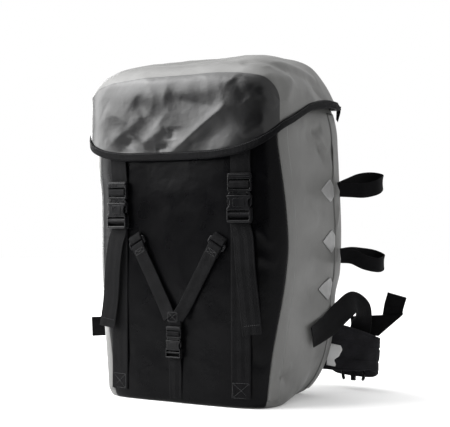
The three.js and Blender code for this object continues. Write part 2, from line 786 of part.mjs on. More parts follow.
// Places where the strap lies against the front, and its free tail: share of the way down and lift off the
// front. The tail starts tailDrop below the buckle and drifts outwards.
const strapRests = [
  { height: 16, lift: plyLift + 0.8 },
  { height: 62, lift: plyLift },
  { height: 110, lift: plyLift },
  { height: 180, lift: plyLift },
  { height: 250, lift: plyLift },
];
const strapTail = [
  { share: 0, lift: 6 },
  { share: 0.3, lift: 9 },
  { share: 0.65, lift: 8 },
  { share: 1, lift: 12 },
];
const tailDrop = 24;
const tailDrift = { from: 6, more: 14 };

function addLowerStrap(label, x, buckleHeight, matrix) {
  const size = frontBuckle;
  const loadPly = webbingThickness / 2 + 0.2;
  const tailPly = loadPly + webbingThickness + 0.35;
  const front = size.bar.to + webbingThickness / 2 + 0.3;
  const into = middleOf(size.femaleUpperSlot);
  const out = middleOf(size.femaleLowerSlot);
  const panel = (height, lift) => frontFrame(x, height, lift).point;
  const below = buckleHeight - tailDrop;
  const tail = ({ share, lift }) => {
    const drift = tailDrift.from + tailDrift.more * share;
    return frontFrame(x + drift * Math.sign(x), lerp(below, strapTailEnd, share), lift).point;
  };
  const points = [
    ...strapRests.map(({ height, lift }) => panel(height, lift)),
    ...buckleRoute(matrix, [
      [size.femaleEnd - 3, loadPly], [size.femaleLowerSlot.from + 2, loadPly],
      [size.femaleUpperSlot.from, loadPly], [into - 0.4, loadPly + 0.8], [into, (loadPly + front) / 2],
      [into - 0.4, front - 0.4], [size.femaleUpperSlot.from, front + 0.2],
      [size.femaleLowerSlot.to, front + 0.2], [out + 1.6, front - 0.8], [out + 0.4, (front + tailPly) / 2],
      [out - 1, tailPly + 0.5], [size.femaleLowerSlot.from, tailPly], [size.femaleEnd - 3, tailPly + 0.2],
    ]),
    ...strapTail.map(tail),
  ];
  addPiece(`strap_lower_${label}`, routeBand(points, sidesOf(matrix, 2), 57, strapWidth), 'webbing');
}

// Helmet harness: two arms from rings at the straps to a buckle in the middle, and a strap to the base

const harnessBuckle = buckleSizes(narrowStrapWidth, narrowStrapWidth / beltWidth);
const ringThickness = 3;
const ringBar = 4;
const ringLift = 2.6;
const harnessLift = 2.6;
const harnessRests = [8, 30, 52];

function addHarness() {
  const meeting = harnessBuckleHeight - harnessBuckle.femaleEnd;
  const matrix = frameMatrix(frontFrame(0, meeting, harnessLift));
  addPiece('harness_buckle_upper', maleBuckle(harnessBuckle), 'plastic', matrix);
  addPiece('harness_buckle_lower', femaleBuckle(harnessBuckle), 'plastic', matrix);
  const size = harnessBuckle;
  const load = webbingThickness / 2 + 0.2;
  const panel = (height) => frontFrame(0, height, plyLift).point;
  const lower = [...harnessRests.map(panel), ...buckleRoute(matrix, [
    [size.femaleEnd - 3, load], [size.femaleLowerSlot.from + 1, load], [size.femaleUpperSlot.from - 2, load],
  ])];
  addPiece('harness_strap_lower', routeBand(lower, sidesOf(matrix, 2), 12, narrowStrapWidth), 'webbing');
  const yoke = buckleRoute(matrix, [[size.maleTop + 24, size.thickness / 2 - 1.4],
    [size.maleTop + 12, size.thickness / 2 - 1.4], ...maleLoop(size)]);
  addPiece('harness_yoke', routeBand(yoke, sidesOf(matrix, 2), 38, narrowStrapWidth), 'webbing');
  for (const side of sides) addHarnessArm(side, matrix);
}

function addHarnessArm({ label, sign }, buckleMatrix) {
  const size = harnessBuckle;
  const ringX = ringOffset * sign + ringShift;
  const start = frontFrame(ringX, ringHeight, ringLift);
  const layer = size.thickness / 2 + 0.4 + (sign > 0 ? 1.5 : 0.5) * (webbingThickness + 2 * clearance);
  const end = new THREE.Vector3(harnessSpread * sign, size.maleTop + narrowStrapWidth / 2 + 2, layer)
    .applyMatrix4(buckleMatrix);
  const along = end.clone().sub(start.point).normalize();
  const across = new THREE.Vector3().crossVectors(along, start.facing).normalize();
  const ringMatrix = frameMatrix({ point: start.point, side: across, facing: start.facing });
  const halfOpening = narrowStrapWidth / 2 + 1;
  const ring = roundedRectangle(halfOpening + ringBar, -ringBar - 3, ringBar + 3, ringBar);
  ring.holes.push(rectangle(halfOpening, -3, 3));
  addPiece(`harness_ring_${label}`, block(ring, 0, ringThickness), 'plastic', ringMatrix);
  const step = (distance, lift) => start.point.clone().addScaledVector(along, distance)
    .addScaledVector(start.facing, lift);
  const mid = (share) => {
    const x = lerp(ringX, harnessSpread * sign, share);
    const height = lerp(ringHeight, end.z, share);
    return frontFrame(x, height, lerp(6, 5, share)).point;
  };
  const over = ringThickness + webbingThickness / 2 + 0.55;
  const under = -webbingThickness / 2 - 0.45;
  const points = [step(22, under), step(5, under), step(2, under + 0.6), step(1.4, ringThickness / 2),
    step(2, over - 0.6), step(5, over), step(11, over), mid(0.35), mid(0.6), mid(0.85), end];
  addPiece(`harness_arm_${label}`, routeBand(points, [across, across], 30, narrowStrapWidth), 'webbing');
  const tab = [step(-15, under), step(-6, under), step(-2, under + 0.6), step(-1.4, ringThickness / 2),
    step(-2, over - 0.6), step(-5, over), step(-11, over - 0.6), step(-15, over - 2.6)];
  addPiece(`harness_tab_${label}`, routeBand(tab, [across, across], 14, narrowStrapWidth), 'webbing');
}

// Webbing loops sewn into the rear seams: reach away from the seam, spread sideways and rise, for each
// half of the loop; shares of loopReach
const loopReach = 81;
const loopRootGap = 0.8;
const loopShapes = {
  upper: [
    { reach: 0.00, spread: 0.016, rise: 0.00 },
    { reach: 0.24, spread: 0.060, rise: -0.01 },
    { reach: 0.52, spread: 0.160, rise: -0.02 },
    { reach: 0.82, spread: 0.170, rise: 0.06 },
    { reach: 0.98, spread: 0.000, rise: 0.18 },
    { reach: 0.82, spread: -0.170, rise: 0.24 },
    { reach: 0.52, spread: -0.160, rise: 0.21 },
    { reach: 0.24, spread: -0.060, rise: 0.11 },
    { reach: 0.00, spread: -0.016, rise: 0.01 },
  ],
  lower: [
    { reach: 0.00, spread: 0.016, rise: 0.00 },
    { reach: 0.24, spread: 0.060, rise: -0.02 },
    { reach: 0.52, spread: 0.160, rise: -0.15 },
    { reach: 0.82, spread: 0.170, rise: -0.20 },
    { reach: 0.98, spread: 0.000, rise: -0.13 },
    { reach: 0.82, spread: -0.170, rise: -0.03 },
    { reach: 0.52, spread: -0.160, rise: 0.02 },
    { reach: 0.24, spread: -0.060, rise: 0.04 },
    { reach: 0.00, spread: -0.016, rise: 0.01 },
  ],
};

function addSideLoops({ label, sign }) {
  for (const [place, height] of [['upper', upperLoopHeight], ['lower', lowerLoopHeight]]) {
    const column = (rearSeamTurn + 5) * sign;
    const base = bodyFrame(column, height, 4 * clearance + seamThickness + webbingThickness + loopRootGap);
    const away = new THREE.Vector3(sign, 1, 0).normalize();
    const across = new THREE.Vector3(1, -sign, 0).normalize();
    const points = loopShapes[place].map((row) => base.point.clone()
      .addScaledVector(away, row.reach * loopReach)
      .addScaledVector(across, row.spread * loopReach)
      .addScaledVector(up, row.rise * loopReach));
    addPiece(`side_loop_${place}_${label}`, routeBand(points, [up, up], 28, narrowStrapWidth), 'webbing');
  }
}

// Back pad, shoulder straps and their webbing

const backFace = bodyBackDepth + clearance;
const shoulderRoot = 470;
const shoulderEnd = 232;
const shoulderRootOffset = 50;
const shoulderEndOffset = 104;
const shoulderAnchorHeight = 168;
const shoulderAnchorOffset = 112;

// Frame on the back: side points to the wearer's left as seen from the front, facing points backwards
function backMatrix(x, y, z) {
  const frame = { point: new THREE.Vector3(x, y, z), side: new THREE.Vector3(-1, 0, 0),
    facing: new THREE.Vector3(0, 1, 0) };
  return frameMatrix(frame);
}

function addBackPad() {
  const cornerRadius = 30;
  const shape = roundedRectangle(padHalfWidth, padBottom, padTop, cornerRadius);
  addPiece('back_pad', block(shape, 0, padThickness), 'mesh', backMatrix(0, backFace, 0));
}

// Shoulder strap: places between root and end; out is a share of shoulderBulge
const shoulderBulge = 62;
const shoulderPlaces = [
  { down: 0.10, across: 0.03, out: 0.55 },
  { down: 0.28, across: 0.16, out: 0.95 },
  { down: 0.50, across: 0.42, out: 1.00 },
  { down: 0.74, across: 0.74, out: 0.80 },
  { down: 1.00, across: 1.00, out: 0.52 },
];

function addShoulderStrap({ label, sign }) {
  const rootY = bodyPoint(180, shoulderRoot, clearance).y;
  const place = (down, across, y) => new THREE.Vector3(
    sign * lerp(shoulderRootOffset, shoulderEndOffset, across), y, lerp(shoulderRoot, shoulderEnd, down));
  const points = [place(0, 0, rootY), place(0, 0, rootY + shoulderBulge * 0.2),
    ...shoulderPlaces.map((row) => place(row.down, row.across, backFace + shoulderBulge * row.out))];
  const across = new THREE.Vector3(1, 0, 0);
  const frames = routeFrames(points, [across, across], 16);
  addPiece(`shoulder_strap_${label}`, bandSolid(frames, shoulderWidth, shoulderThickness), 'mesh');
  addShoulderWebbing(label, sign, frames[frames.length - 1], points);
}

function addShoulderWebbing(label, sign, strapEnd, points) {
  const heading = points[points.length - 1].clone().sub(points[points.length - 2]).normalize();
  const lockWidth = narrowStrapWidth + 9;
  const lockLength = 26;
  const lockThickness = 4;
  const slotHalf = narrowStrapWidth / 2 + 0.8;
  const lock = roundedRectangle(lockWidth / 2, 0, lockLength, 3);
  lock.holes.push(rectangle(slotHalf, 4, 9), rectangle(slotHalf, 15, 20));
  const upward = heading.clone().negate();
  const facing = new THREE.Vector3().crossVectors(strapEnd.side, upward).normalize();
  const corner = strapEnd.point.clone().addScaledVector(heading, lockLength + clearance)
    .addScaledVector(facing, -lockThickness / 2);
  const matrix = new THREE.Matrix4().makeBasis(strapEnd.side, upward, facing).setPosition(corner);
  addPiece(`ladder_lock_${label}`, block(lock, 0, lockThickness), 'plastic', matrix);
  const inward = facing.y > 0 ? -1 : 1;
  const behind = inward < 0 ? -webbingThickness / 2 - clearance : lockThickness + webbingThickness / 2 + clearance;
  const anchorX = sign * shoulderAnchorOffset;
  const anchorColumn = 180 * sign - (frontColumn(0, shoulderAnchorHeight) + 24) * sign;
  const anchor = bodyPoint(anchorColumn, shoulderAnchorHeight, clearance + webbingThickness);
  anchor.setX(anchorX);
  const start = buckleRoute(matrix, [[lockLength - 4, behind], [4, behind]]);
  const middle = start[1].clone().lerp(anchor, 0.5).add(new THREE.Vector3(0, 4, -6));
  const route = [...start, middle, anchor];
  addPiece(`shoulder_webbing_${label}`, routeBand(route, [strapEnd.side, strapEnd.side], 10, narrowStrapWidth),
    'webbing');
}

// Hip belt: two padded fins, the right one folded back on itself, and the webbing at their ends.
// Places from the middle of the back at floor level: across as a share of bodyHalfWidth, behind the back
// face as a share of bodyBackDepth and up as a share of bodyHeight.
const finRoutes = {
  right: [
    { across: 0.326, behind: -0.138, up: 0.174 },
    { across: 0.632, behind: -0.120, up: 0.162 },
    { across: 0.905, behind: 0.080, up: 0.142 },
    { across: 1.105, behind: 0.264, up: 0.117 },
    { across: 1.168, behind: 0.392, up: 0.106 },
    { across: 1.095, behind: 0.512, up: 0.102 },
    { across: 0.842, behind: 0.544, up: 0.106 },
    { across: 0.621, behind: 0.512, up: 0.113 },
  ],
  left: [
    { across: -0.326, behind: -0.138, up: 0.174 },
    { across: -0.632, behind: -0.124, up: 0.168 },
    { across: -0.947, behind: 0.012, up: 0.168 },
    { across: -1.242, behind: -0.144, up: 0.174 },
  ],
};

const finSteps = { left: 10, right: 26 };
const finNarrowing = 0.25;

function beltPoint(row) {
  return new THREE.Vector3(row.across * bodyHalfWidth, backFace + row.behind * bodyBackDepth,
    row.up * bodyHeight);
}

function addHipFins() {
  for (const { label } of sides) {
    const points = finRoutes[label].map(beltPoint);
    const count = finSteps[label];
    const frames = routeFrames(points, [up, up], count);
    frames.forEach((frame, i) => {
      frame.scale = 1 - finNarrowing * i / count;
    });
    addPiece(`hip_fin_${label}`, bandSolid(frames, beltFinHeight, beltFinThickness), 'mesh');
  }
}

// Directions of the picture plane that the belt's webbing is spread in
const spreadTurn = 32 * degrees;
const spreadAcross = new THREE.Vector3(Math.cos(spreadTurn), Math.sin(spreadTurn), 0);
const spreadNear = new THREE.Vector3(Math.sin(spreadTurn), -Math.cos(spreadTurn), 0);

function sideDirection(across, upwards, near) {
  return up.clone().multiplyScalar(upwards).addScaledVector(spreadAcross, across)
    .addScaledVector(spreadNear, near).normalize();
}

const archPlaces = [
  { across: 0.984, behind: -1.064, up: 0.204, side: [0.16, 0.99, 0] },
  { across: 1.021, behind: -0.696, up: 0.238, side: [-0.4, 0.9, 0] },
  { across: 1.053, behind: -0.320, up: 0.283, side: [-0.5, 0.8, -0.3] },
  { across: 1.074, behind: -0.032, up: 0.306, side: [0.1, 0.8, -0.6] },
  { across: 1.084, behind: 0.192, up: 0.275, side: [0.7, 0.5, -0.4] },
  { across: 1.021, behind: 0.352, up: 0.219, side: [1, 0.1, 0] },
  { across: 0.937, behind: 0.376, up: 0.140, side: [1, 0, 0] },
];

function addBeltWebbing() {
  const sideList = archPlaces.map((row) => sideDirection(...row.side));
  const points = archPlaces.map(beltPoint);
  addPiece('belt_strap_right', routeBand(points, sideList, 30, beltWidth), 'webbing');
  const leftPoints = [
    { across: -1.074, behind: -0.108, up: 0.170 }, { across: -1.232, behind: -0.196, up: 0.174 },
    { across: -1.421, behind: -0.320, up: 0.181 }, { across: -1.605, behind: -0.464, up: 0.187 },
    { across: -1.747, behind: -0.592, up: 0.185 },
  ].map(beltPoint);
  const tipSide = sideDirection(0.3, 0.95, 0);
  addPiece('belt_strap_left', routeBand(leftPoints, [up, tipSide], 10, beltWidth), 'webbing');
}

// Tail of the belt's webbing, folded up over itself along a slanting line
function addBeltTail() {
  const start = beltPoint({ across: 0.842, behind: 0.608, up: 0.208 });
  const corner = beltPoint({ across: 1.242, behind: 0.608, up: 0.219 });
  const end = beltPoint({ across: 1.311, behind: 0.608, up: 0.323 });
  const first = corner.clone().sub(start).normalize();
  const second = end.clone().sub(corner).normalize();
  const facing = new THREE.Vector3(0, 1, 0);
  const foldLine = first.clone().add(second).normalize();
  const outward = first.clone().sub(second).normalize();
  const firstSide = new THREE.Vector3().crossVectors(facing, first).normalize();
  const foldSide = foldLine.clone().divideScalar(foldLine.dot(firstSide));
  const secondSide = foldLine.clone().multiplyScalar(2 * foldLine.dot(firstSide)).sub(firstSide);
  const depth = webbingThickness + 0.5;
  const shift = (point, through, out) => point.clone().addScaledVector(facing, through)
    .addScaledVector(outward, out);
  const frames = [
    { point: start, side: firstSide, facing },
    { point: corner, side: foldSide, facing },
    { point: shift(corner, depth / 2, depth / 2), side: foldSide, facing: outward.clone().negate() },
    { point: shift(corner, depth, 0), side: foldSide, facing: facing.clone().negate() },
    { point: shift(end, depth, 0), side: secondSide, facing: facing.clone().negate() },
  ];
  addPiece('belt_tail_right', bandSolid(frames, beltWidth, webbingThickness), 'webbing');
}

const beltBuckleGap = 1.6;
const beltBuckleDrop = 40;

function addBeltBuckles() {
  const size = buckleSizes(beltWidth, 1);
  const end = beltPoint(archPlaces[archPlaces.length - 1]);
  const back = end.y - webbingThickness - size.thickness / 2 - beltBuckleGap;
  addPiece('belt_buckle_right', maleBuckle(size), 'plastic', backMatrix(end.x, back, end.z - beltBuckleDrop));
}

addBodyShell();
addOverlays();
addDiamonds();
addLid();
addLidPanel();
addLidBinding();
sides.forEach(addFrontStrap);
addHarness();
sides.forEach(addSideLoops);
addBackPad();
sides.forEach(addShoulderStrap);
addHipFins();
addBeltWebbing();
addBeltTail();
addBeltBuckles();

export default group;
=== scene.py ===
# Bicycle messenger backpack of welded tarpaulin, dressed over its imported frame.
# Shapes are worked out in millimetres, +Z up, the front at -Y, and scaled to metres when a mesh is made.
# A turn is a direction round the bag in degrees: 0 is the front, 90 the right side, 180 the back.
import json
import math

import bpy
import numpy as np
from mathutils import Matrix, Vector, noise

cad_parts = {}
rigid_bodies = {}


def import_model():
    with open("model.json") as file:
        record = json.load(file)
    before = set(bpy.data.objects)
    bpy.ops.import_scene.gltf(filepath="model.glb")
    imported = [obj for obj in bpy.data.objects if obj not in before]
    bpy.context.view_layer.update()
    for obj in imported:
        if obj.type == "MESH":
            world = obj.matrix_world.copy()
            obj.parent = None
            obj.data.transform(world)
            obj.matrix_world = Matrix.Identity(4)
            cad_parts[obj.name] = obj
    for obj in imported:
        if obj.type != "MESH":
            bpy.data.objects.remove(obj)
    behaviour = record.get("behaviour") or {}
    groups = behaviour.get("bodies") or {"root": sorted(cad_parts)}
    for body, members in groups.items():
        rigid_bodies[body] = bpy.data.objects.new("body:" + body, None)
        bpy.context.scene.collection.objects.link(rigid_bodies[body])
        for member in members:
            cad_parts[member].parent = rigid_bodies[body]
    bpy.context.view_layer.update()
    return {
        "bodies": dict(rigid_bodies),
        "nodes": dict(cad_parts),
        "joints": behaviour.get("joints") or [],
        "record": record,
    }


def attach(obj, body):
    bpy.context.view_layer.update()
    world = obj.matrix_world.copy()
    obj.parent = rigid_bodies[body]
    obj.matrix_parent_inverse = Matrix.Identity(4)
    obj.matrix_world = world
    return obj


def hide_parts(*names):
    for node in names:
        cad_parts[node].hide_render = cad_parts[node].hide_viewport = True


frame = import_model()

MM = 0.001
UP = Vector((0, 0, 1))


def rows_of(columns, *rows):
    """A table's rows as dictionaries, from the names of its columns."""
    return [dict(zip(columns.split(), row)) for row in rows]


# Body and lid
BODY_HALF_WIDTH = 190
BODY_FRONT = 140
BODY_BACK = 125
BODY_HEIGHT = 530
TARP = 2.0
GAP = 0.4
LID_HALF_WIDTH = 196
LID_FRONT = 152
LID_BACK = 133
LID_TOP = 596
LID_SHOULDER = 522
LID_FRONT_HEM = 407
LID_BACK_HEM = 503
LID_SLOPE = 16
LID_TAPER = 0.05
BINDING = 12
PANEL = 1.5
POWERS = {"body": (5.5, 10), "lid": (6, 8)}

# Webbing and hardware
STRAP = 35
BELT = 38
NARROW = 25
WEB = 1.5
STRAP_OFFSET = 121
STRAP_SHIFT = 4
BUCKLE_HEIGHT = {"left": 292, "right": 302}
RING_HEIGHT = 268
RING_OFFSET = 80
RING_SHIFT = 3
HARNESS_BUCKLE_HEIGHT = 76
HARNESS_SPREAD = 9
SIDES = (("left", -1), ("right", 1))
CAMERA_TURN = 32

# Lower edge: rise of its rounding, inset of the flat base, and the turns where it takes over
ROUND_FRONT = {"rise": 14, "inset": 8}
ROUND_SIDE = {"rise": 62, "inset": 42, "start": 48, "over": 50}
ROUND_BACK = {"rise": 120, "inset": 56, "start": 80, "over": 40}

# Shares of the body's height, half width and depths; seam is a shift of the front seams in degrees
BODY_SECTIONS = rows_of(
    "height width front back lean seam",
    (0.00, 0.905, 1.00, 0.76, 0.000, -4.0),
    (0.13, 0.935, 1.00, 0.79, 0.000, -3.2),
    (0.33, 0.972, 1.00, 0.85, 0.000, 1.2),
    (0.41, 0.985, 1.00, 0.99, 0.000, 3.2),
    (0.49, 0.992, 1.00, 1.00, 0.000, 4.4),
    (0.64, 0.995, 1.00, 1.00, -0.015, 2.6),
    (0.74, 1.000, 1.00, 1.00, -0.035, 0.9),
    (0.84, 0.995, 0.99, 1.00, -0.045, -0.5),
    (0.93, 0.950, 0.93, 0.99, -0.048, 0.0),
    (1.00, 0.860, 0.80, 0.90, -0.048, 0.0))
BODY_DENTS = rows_of(
    "turn height spread reach depth",
    (89, 0.86, 9, 0.035, 0.024),
    (108, 0.80, 10, 0.03, 0.014),
    (62, 0.10, 8, 0.04, 0.016),
    (-92, 0.84, 12, 0.04, 0.018),
    (96, 0.42, 22, 0.14, 0.012),
    (-96, 0.45, 22, 0.14, 0.012))
LID_HEM = rows_of(
    "turn rise",
    (0, 0.01), (22, 0.02), (33, 0.07),
    (41, 0.18), (50, 0.39), (55, 0.51),
    (64, 0.64), (74, 0.77), (86, 0.89),
    (101, 0.96), (118, 1.00), (180, 1.00))
LID_CROWN = rows_of(
    "step reach front back",
    (0, 1.000, 0.00, 0.00),
    (1, 0.975, 0.22, 0.15),
    (2, 0.925, 0.42, 0.40),
    (3, 0.840, 0.65, 0.69),
    (4, 0.720, 0.84, 0.88),
    (5, 0.540, 0.96, 0.97),
    (6, 0.300, 1.00, 1.00),
    (7, 0.000, 1.00, 1.00))
FRONT_SEAM = 52
FRONT_EDGE_LEFT = -42
WELD_SEAM = 60
REAR_SEAM = 121
REAR_SEAM_END = 131
LID_PANEL_TURNS = (-47, 53)
HOLD_OVER = 15
# The front seams pull the cloth round them sideways between these turns
SEAM_PULL = {"from": 24, "over": 24, "until": 100, "fade": 34}
# The lid's front passes into its back round these turns
LID_BACK_FROM = 60
LID_BACK_OVER = 50


def smooth(value):
    share = min(max(value, 0.0), 1.0)
    return share * share * (3 - 2 * share)


def lerp(low, high, share):
    return low + (high - low) * share


def curve(table, key, column):
    """Smooth function through a table's column, without overshoot between its rows."""
    xs = [row[key] for row in table]
    ys = [row[column] for row in table]
    steps = [xs[i + 1] - xs[i] for i in range(len(xs) - 1)]
    rates = [(ys[i + 1] - ys[i]) / steps[i] for i in range(len(steps))]
    slopes = [rates[0]]
    for before, after in zip(rates, rates[1:]):
        slopes.append(0.0 if before * after <= 0 else 2 * before * after / (before + after))
    slopes.append(rates[-1])

    def read(at):
        at = min(max(at, xs[0]), xs[-1])
        i = 0
        while i < len(steps) - 1 and at > xs[i + 1]:
            i += 1
        t = (at - xs[i]) / steps[i]
        return ((1 + 2 * t) * (1 - t) ** 2 * ys[i] + t * (1 - t) ** 2 * steps[i] * slopes[i]
                + t * t * (3 - 2 * t) * ys[i + 1] - t * t * (1 - t) * steps[i] * slopes[i + 1])

    return read


body = {name: curve(BODY_SECTIONS, "height", name) for name in ("width", "front", "back", "lean", "seam")}
crown = {name: curve(LID_CROWN, "step", name) for name in ("reach", "front", "back")}
hem_rise = curve(LID_HEM, "turn", "rise")


def plan_point(turn, half_width, front, back, powers):
    sideways = math.sin(math.radians(turn))
    forwards = math.cos(math.radians(turn))
    power = powers[0] if forwards > 0 else powers[1]
    depth = front if forwards > 0 else back
    reach = (abs(sideways) ** power + abs(forwards) ** power) ** (-1 / power)
    return half_width * sideways * reach, -depth * forwards * reach


def base_round(turn):
    angle = abs(turn)
    side = smooth((angle - ROUND_SIDE["start"]) / ROUND_SIDE["over"])
    back = smooth((angle - ROUND_BACK["start"]) / ROUND_BACK["over"])
    return [lerp(lerp(ROUND_FRONT[name], ROUND_SIDE[name], side), ROUND_BACK[name], back)
            for name in ("rise", "inset")]


def seam_shift(turn, height):
    angle = abs(turn)
    start = smooth((angle - SEAM_PULL["from"]) / SEAM_PULL["over"])
    pull = start * smooth((SEAM_PULL["until"] - angle) / SEAM_PULL["fade"])
    return math.copysign(pull, turn) * body["seam"](height / BODY_HEIGHT)


def body_form(column, height):
    share = height / BODY_HEIGHT
    turn = column + seam_shift(column, height)
    x, y = plan_point(turn, BODY_HALF_WIDTH * body["width"](share), BODY_FRONT * body["front"](share),
                      BODY_BACK * body["back"](share), POWERS["body"])
    rise, inset = base_round(turn)
    below = max(1 - height / rise, 0)
    inward = inset * (1 - math.sqrt(1 - below * below))
    for dent in BODY_DENTS:
        across = (turn - dent["turn"]) / dent["spread"]
        along = (share - dent["height"]) / dent["reach"]
        inward += BODY_HALF_WIDTH * dent["depth"] * math.exp(-across * across - along * along)
    size = math.hypot(x, y)
    scale = (size - inward) / size
    return Vector((x * scale + BODY_HALF_WIDTH * body["lean"](share), y * scale, height))


def hem_height(turn):
    return lerp(LID_FRONT_HEM, LID_BACK_HEM, hem_rise(abs(turn)))


def lid_form(turn, level):
    """The lid: level 0 is the hem, 1 the shoulder and 2 the middle of the top."""
    lean = BODY_HALF_WIDTH * body["lean"](1)
    x, y = plan_point(turn, LID_HALF_WIDTH, LID_FRONT, LID_BACK, POWERS["lid"])
    back = smooth((abs(turn) - LID_BACK_FROM) / LID_BACK_OVER)
    taper = 1 - LID_TAPER * back * min(level, 1)
    x, y = x * taper, y * taper
    if level > 1:
        step = (level - 1) * LID_CROWN[-1]["step"]
        reach = crown["reach"](step)
        rise = lerp(crown["front"](step), crown["back"](step), back)
        forwards = max(-y / LID_FRONT, 0)
        slope = LID_SLOPE * 4 * reach * (1 - reach) * forwards * forwards
        return Vector((x * reach + lean, y * reach, lerp(LID_SHOULDER, LID_TOP, rise) - slope))
    height = lerp(hem_height(turn), LID_SHOULDER, level)
    wall = Vector((x + lean, y, height))
    hold = smooth((abs(turn) - REAR_SEAM_END) / HOLD_OVER) * (1 - level)
    if hold > 0:
        held = body_point(turn, hem_height(turn), GAP + TARP)
        held.z = height
        wall = wall.lerp(held, hold)
    return wall


def offset_point(form, column, level, step, low, high, outward):
    across = form(column + 1, level) - form(column - 1, level)
    along = form(column, min(level + step, high)) - form(column, max(level - step, low))
    return form(column, level) + across.cross(along).normalized() * outward


def body_point(column, height, outward):
    return offset_point(body_form, column, height, 2, 0, BODY_HEIGHT, outward)


def lid_point(turn, level, outward):
    return offset_point(lid_form, turn, level, 0.05, 0, 2, outward)


# Meshes from grids, bands and plates

def finish_piece(name, points, faces, look, nodes, uvs=None):
    """A piece of the bag from points in millimetres. uvs holds one pair a point, in millimetres too.

    look is a material and the slot that it fills; the slot is not used.
    """
    material, slot = look
    mesh = bpy.data.meshes.new(name)
    mesh.from_pydata([tuple(np.asarray(p) * MM) for p in points], [], faces)
    if uvs is not None:
        layer = mesh.uv_layers.new(name="UVMap")
        for loop in mesh.loops:
            layer.data[loop.index].uv = uvs[loop.vertex_index]
    mesh.validate()
    mesh.polygons.foreach_set("use_smooth", [True] * len(mesh.polygons))
    mesh.materials.append(material)
    obj = bpy.data.objects.new(name, mesh)
    bpy.context.collection.objects.link(obj)
    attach(obj, "root")
    if nodes:
        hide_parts(*nodes)
    return obj


def sharpen(obj, angle):
    """Edges sharper than an angle stay crisp under smooth shading."""
    obj.data.set_sharp_from_angle(angle=math.radians(angle))
    return obj


def grid_normals(grid, wraps):
    if wraps:
        across = np.roll(grid, -1, 1) - np.roll(grid, 1, 1)
    else:
        across = np.gradient(grid, axis=1)
    normal = np.cross(across, np.gradient(grid, axis=0))
    length = np.linalg.norm(normal, axis=2, keepdims=True)
    return normal / np.maximum(length, 1e-9)


def surface(form, turns, levels):
    return np.array([[form(turn, level) for turn in turns] for level in levels])


def grid_uvs(grid):
    across = np.cumsum(np.linalg.norm(np.diff(grid, axis=1, prepend=grid[:, :1]), axis=2), axis=1)
    across -= across.mean(axis=1, keepdims=True)
    along = np.cumsum(np.linalg.norm(np.diff(grid, axis=0, prepend=grid[:1]), axis=2), axis=0)
    return np.stack([across, along], axis=2)


def declare_sheet(obj, grid):
    """Measures a piece's grid across and along, with the steps along its sides; nothing is done with the
    measures.
    """
    grid = grid * MM
    across = np.linalg.norm(np.diff(grid, axis=1), axis=2).sum(axis=1).max()
    along = np.linalg.norm(np.diff(grid, axis=0), axis=2).sum(axis=0).max()
    sides = np.diff(grid, axis=1)[:-1], np.diff(grid, axis=0)[:, :-1]


def sheet_piece(name, outer, inner, wraps, look, nodes):
    """A closed sheet between two grids; its rims are closed too."""
    rows, columns = outer.shape[:2]
    half = rows * columns
    points = np.concatenate([outer.reshape(-1, 3), inner.reshape(-1, 3)])
    uvs = np.concatenate([grid_uvs(outer).reshape(-1, 2)] * 2)
    last = columns if wraps else columns - 1
    faces = []
    for row in range(rows - 1):
        for column in range(last):
            a, b = row * columns + column, row * columns + (column + 1) % columns
            c, d = b + columns, a + columns
            faces += [(a, b, c, d), (half + a, half + d, half + c, half + b)]
        if not wraps:
            a, d = row * columns, (row + 1) * columns
            faces += [(a, d, half + d, half + a)]
            b, c = a + columns - 1, d + columns - 1
            faces += [(b, half + b, half + c, c)]
    for column in range(last):
        a, b = column, (column + 1) % columns
        faces.append((a, half + a, half + b, b))
        a, b = a + half - columns, b + half - columns
        faces.append((a, b, half + b, half + a))
    return finish_piece(name, points, faces, look, nodes, uvs)


# A crease starts and ends on the surface if that is nearer than this
SNAP = 30


def nearest_place(grid, place):
    """The surface's point nearest to a place, or the place itself where the surface is far from it."""
    away = np.linalg.norm(grid - np.array(place, float), axis=2)
    return grid[np.unravel_index(away.argmin(), away.shape)] if away.min() < SNAP else np.array(place, float)


def creased(grid, normals, creases):
    """Pushes a grid out or in along lines; a crease runs from start to end and is as wide as width."""
    depth = np.zeros(grid.shape[:2])
    for crease in creases:
        start, end = [nearest_place(grid, crease[name]) for name in ("start", "end")]
        if np.linalg.norm(end - start) < crease["width"] / 2:
            continue
        along = end - start
        t = np.clip(((grid - start) @ along) / (along @ along), 0, 1)
        away = np.linalg.norm(grid - (start + t[..., None] * along), axis=2)
        fade = 1 - (2 * t - 1) ** 4 * 0.9
        depth += crease["depth"] * fade * np.exp(-(away / crease["width"]) ** crease.get("edge", 1.6))
    return grid + normals * depth[..., None]


def crumpled(grid, normals, size, depth, seed, ridged=False, mask=None):
    """Uneven swelling of a grid; ridged gives folds with crests instead of soft waves."""
    flat = grid.reshape(-1, 3) / size + seed
    values = np.array([noise.noise(Vector(point)) for point in flat]).reshape(grid.shape[:2])
    if ridged:
        values = 0.35 - np.abs(values) * 2
    if mask is not None:
        values = values * mask
    return grid + normals * (depth * values)[..., None]


def frame_matrix(point, side, facing, upward=None):
    if upward is None:
        upward = facing.cross(side).normalized()
    return Matrix((
        (side.x, upward.x, facing.x, point.x),
        (side.y, upward.y, facing.y, point.y),
        (side.z, upward.z, facing.z, point.z),
        (0, 0, 0, 1)))


def body_frame(column, height, outward):
    point = body_point(column, height, outward)
    facing = (body_point(column, height, outward + 1) - point).normalized()
    side = UP.cross(facing).normalized()
    return point, side, facing


def front_column(x, height):
    low, high = -80.0, 80.0
    for _ in range(40):
        middle = (low + high) / 2
        if body_form(middle, height).x < x:
            low = middle
        else:
            high = middle
    return (low + high) / 2


def front_frame(x, height, lift):
    return body_frame(front_column(x, height), height, GAP + PANEL + lift)


